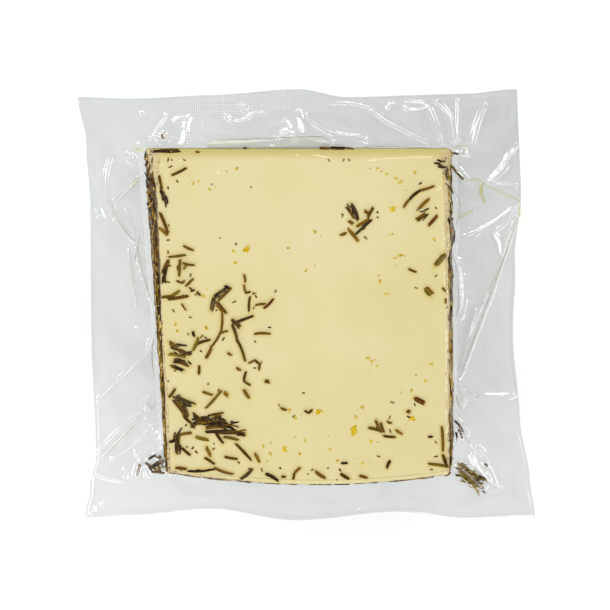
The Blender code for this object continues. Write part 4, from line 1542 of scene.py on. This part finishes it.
# A ring of softboxes round the pack: the way to each, in degrees, and its strength. Their sizes
# and places are in metres, and their power is in watts.
SOFTBOXES = ((15, 1.0), (75, 0.8), (130, 1.1), (190, 1.0), (245, 0.7), (310, 0.9))
SOFTBOX_SIZE = (0.66, 0.42)
SOFTBOX_POWER = 6.6
SOFTBOX_DISTANCE = 1.25
SOFTBOX_HEIGHT = 0.95


def make_floor():
    """A wide white floor that the pack lies on."""
    shader = Shader("white_floor")
    diffuse = shader.node("BsdfDiffuse", {"Color": (FLOOR_COLOUR,) * 3})
    glow = shader.node("Emission", {"Color": WHITE, "Strength": FLOOR_GLOW})
    both = shader.node("AddShader", {0: diffuse.outputs[0], 1: glow.outputs[0]})
    mesh = bpy.data.meshes.new("floor")
    corners = [(x * FLOOR_HALF, y * FLOOR_HALF, -FLOOR_DROP)
               for x, y in ((-1, -1), (1, -1), (1, 1), (-1, 1))]
    mesh.from_pydata(corners, [], [(0, 1, 2, 3)])
    mesh.materials.append(shader.surface(both))
    floor = bpy.data.objects.new("floor", mesh)
    bpy.context.scene.collection.objects.link(floor)


def make_lights():
    """A patchy room for the film to mirror, and a ring of softboxes."""
    world_data = bpy.data.worlds.new("studio")
    world_data.use_nodes = True
    tree = world_data.node_tree
    patches = tree.nodes.new("ShaderNodeTexNoise")
    patches.inputs["Scale"].default_value = ROOM_SCALE
    patches.inputs["Detail"].default_value = 1.0
    ramp = tree.nodes.new("ShaderNodeValToRGB")
    for element, (position, grey) in zip(ramp.color_ramp.elements, ROOM_GREYS):
        element.position = position
        element.color = (grey, grey, grey, 1.0)
    place = tree.nodes.new("ShaderNodeTexCoord")
    tree.links.new(place.outputs["Generated"], patches.inputs["Vector"])
    tree.links.new(patches.outputs["Fac"], ramp.inputs["Fac"])
    tree.links.new(ramp.outputs["Color"], tree.nodes["Background"].inputs["Color"])
    tree.nodes["Background"].inputs["Strength"].default_value = 1.0
    bpy.context.scene.world = world_data
    for number, (heading, strength) in enumerate(SOFTBOXES):
        light = bpy.data.lights.new(f"softbox_{number}", "AREA")
        light.shape = "RECTANGLE"
        light.size, light.size_y = SOFTBOX_SIZE
        light.energy = SOFTBOX_POWER * strength
        lamp = bpy.data.objects.new(light.name, light)
        turn = math.radians(heading)
        across, along = turned(SOFTBOX_DISTANCE, 0.0, turn)
        place = Vector((across, along, SOFTBOX_HEIGHT))
        lamp.location = place
        lamp.rotation_euler = (-place).to_track_quat("-Z", "Y").to_euler()
        bpy.context.scene.collection.objects.link(lamp)


def make_camera():
    """The photograph's camera, square on to the cut face."""
    across, radius, lift = camera_place()
    data = bpy.data.cameras.new("camera")
    data.sensor_width = SENSOR
    data.lens = SENSOR * CAMERA_DISTANCE / (PIXELS * PIXEL)
    camera = bpy.data.objects.new("camera", data)
    up = -FACE_DOWN
    right = up.cross(FACE_NORMAL)
    turn = Matrix((right, up, FACE_NORMAL)).transposed()
    place = Vector(on_wedge(across, radius, 1.0, lift))
    camera.matrix_world = Matrix.Translation(place) @ turn.to_4x4()
    bpy.context.scene.collection.objects.link(camera)
    bpy.context.scene.camera = camera
    bpy.context.scene.view_settings.view_transform = "Standard"


# The scene

make_camera()
make_lights()
make_floor()
sealed_film = film_material("sealed_film", SEALED_FILM, *SEALED_MIRROR)
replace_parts(make_flange(sealed_film), "vacuum_pack")
tight_film = film_material("tight_film", TIGHT_FILM, *TIGHT_MIRROR)
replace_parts(make_wedge_film(tight_film), "vacuum_pack")
leaf_material = tinted_material("rosemary", 0.55, 900.0, 0.12 * MM)
skin = cheese_skin()
make_cheese(cheese_material(), skin)
make_sprigs(leaf_material)
make_coat(leaf_material, skin[0])
make_loose_leaves(leaf_material)
make_specks(tinted_material("specks", 0.45, 1500.0, 0.04 * MM))
make_runs("oil", OIL_RUNS, oil_and_shadow_material("herb_oil", OIL_PALE, OIL_DEEP))
# Painted shadows along the folds
make_runs("fold_lines", FOLD_LINES, oil_and_shadow_material("fold_shadow", FOLD_SHADOW_PALE, FOLD_SHADOW_DEEP))
# Painted highlights along every crease and on the broad folds
painted_highlight_runs = GLINTS + tuple((line, CREASE_HIGHLIGHT) for line, _, _ in CREASES)
make_runs("painted_crease_highlights", painted_highlight_runs, painted_highlight_material("painted_highlight_film"), on_film=True)
label = frame["nodes"]["label"]
label.data.materials.clear()
label.data.materials.append(paper_material())
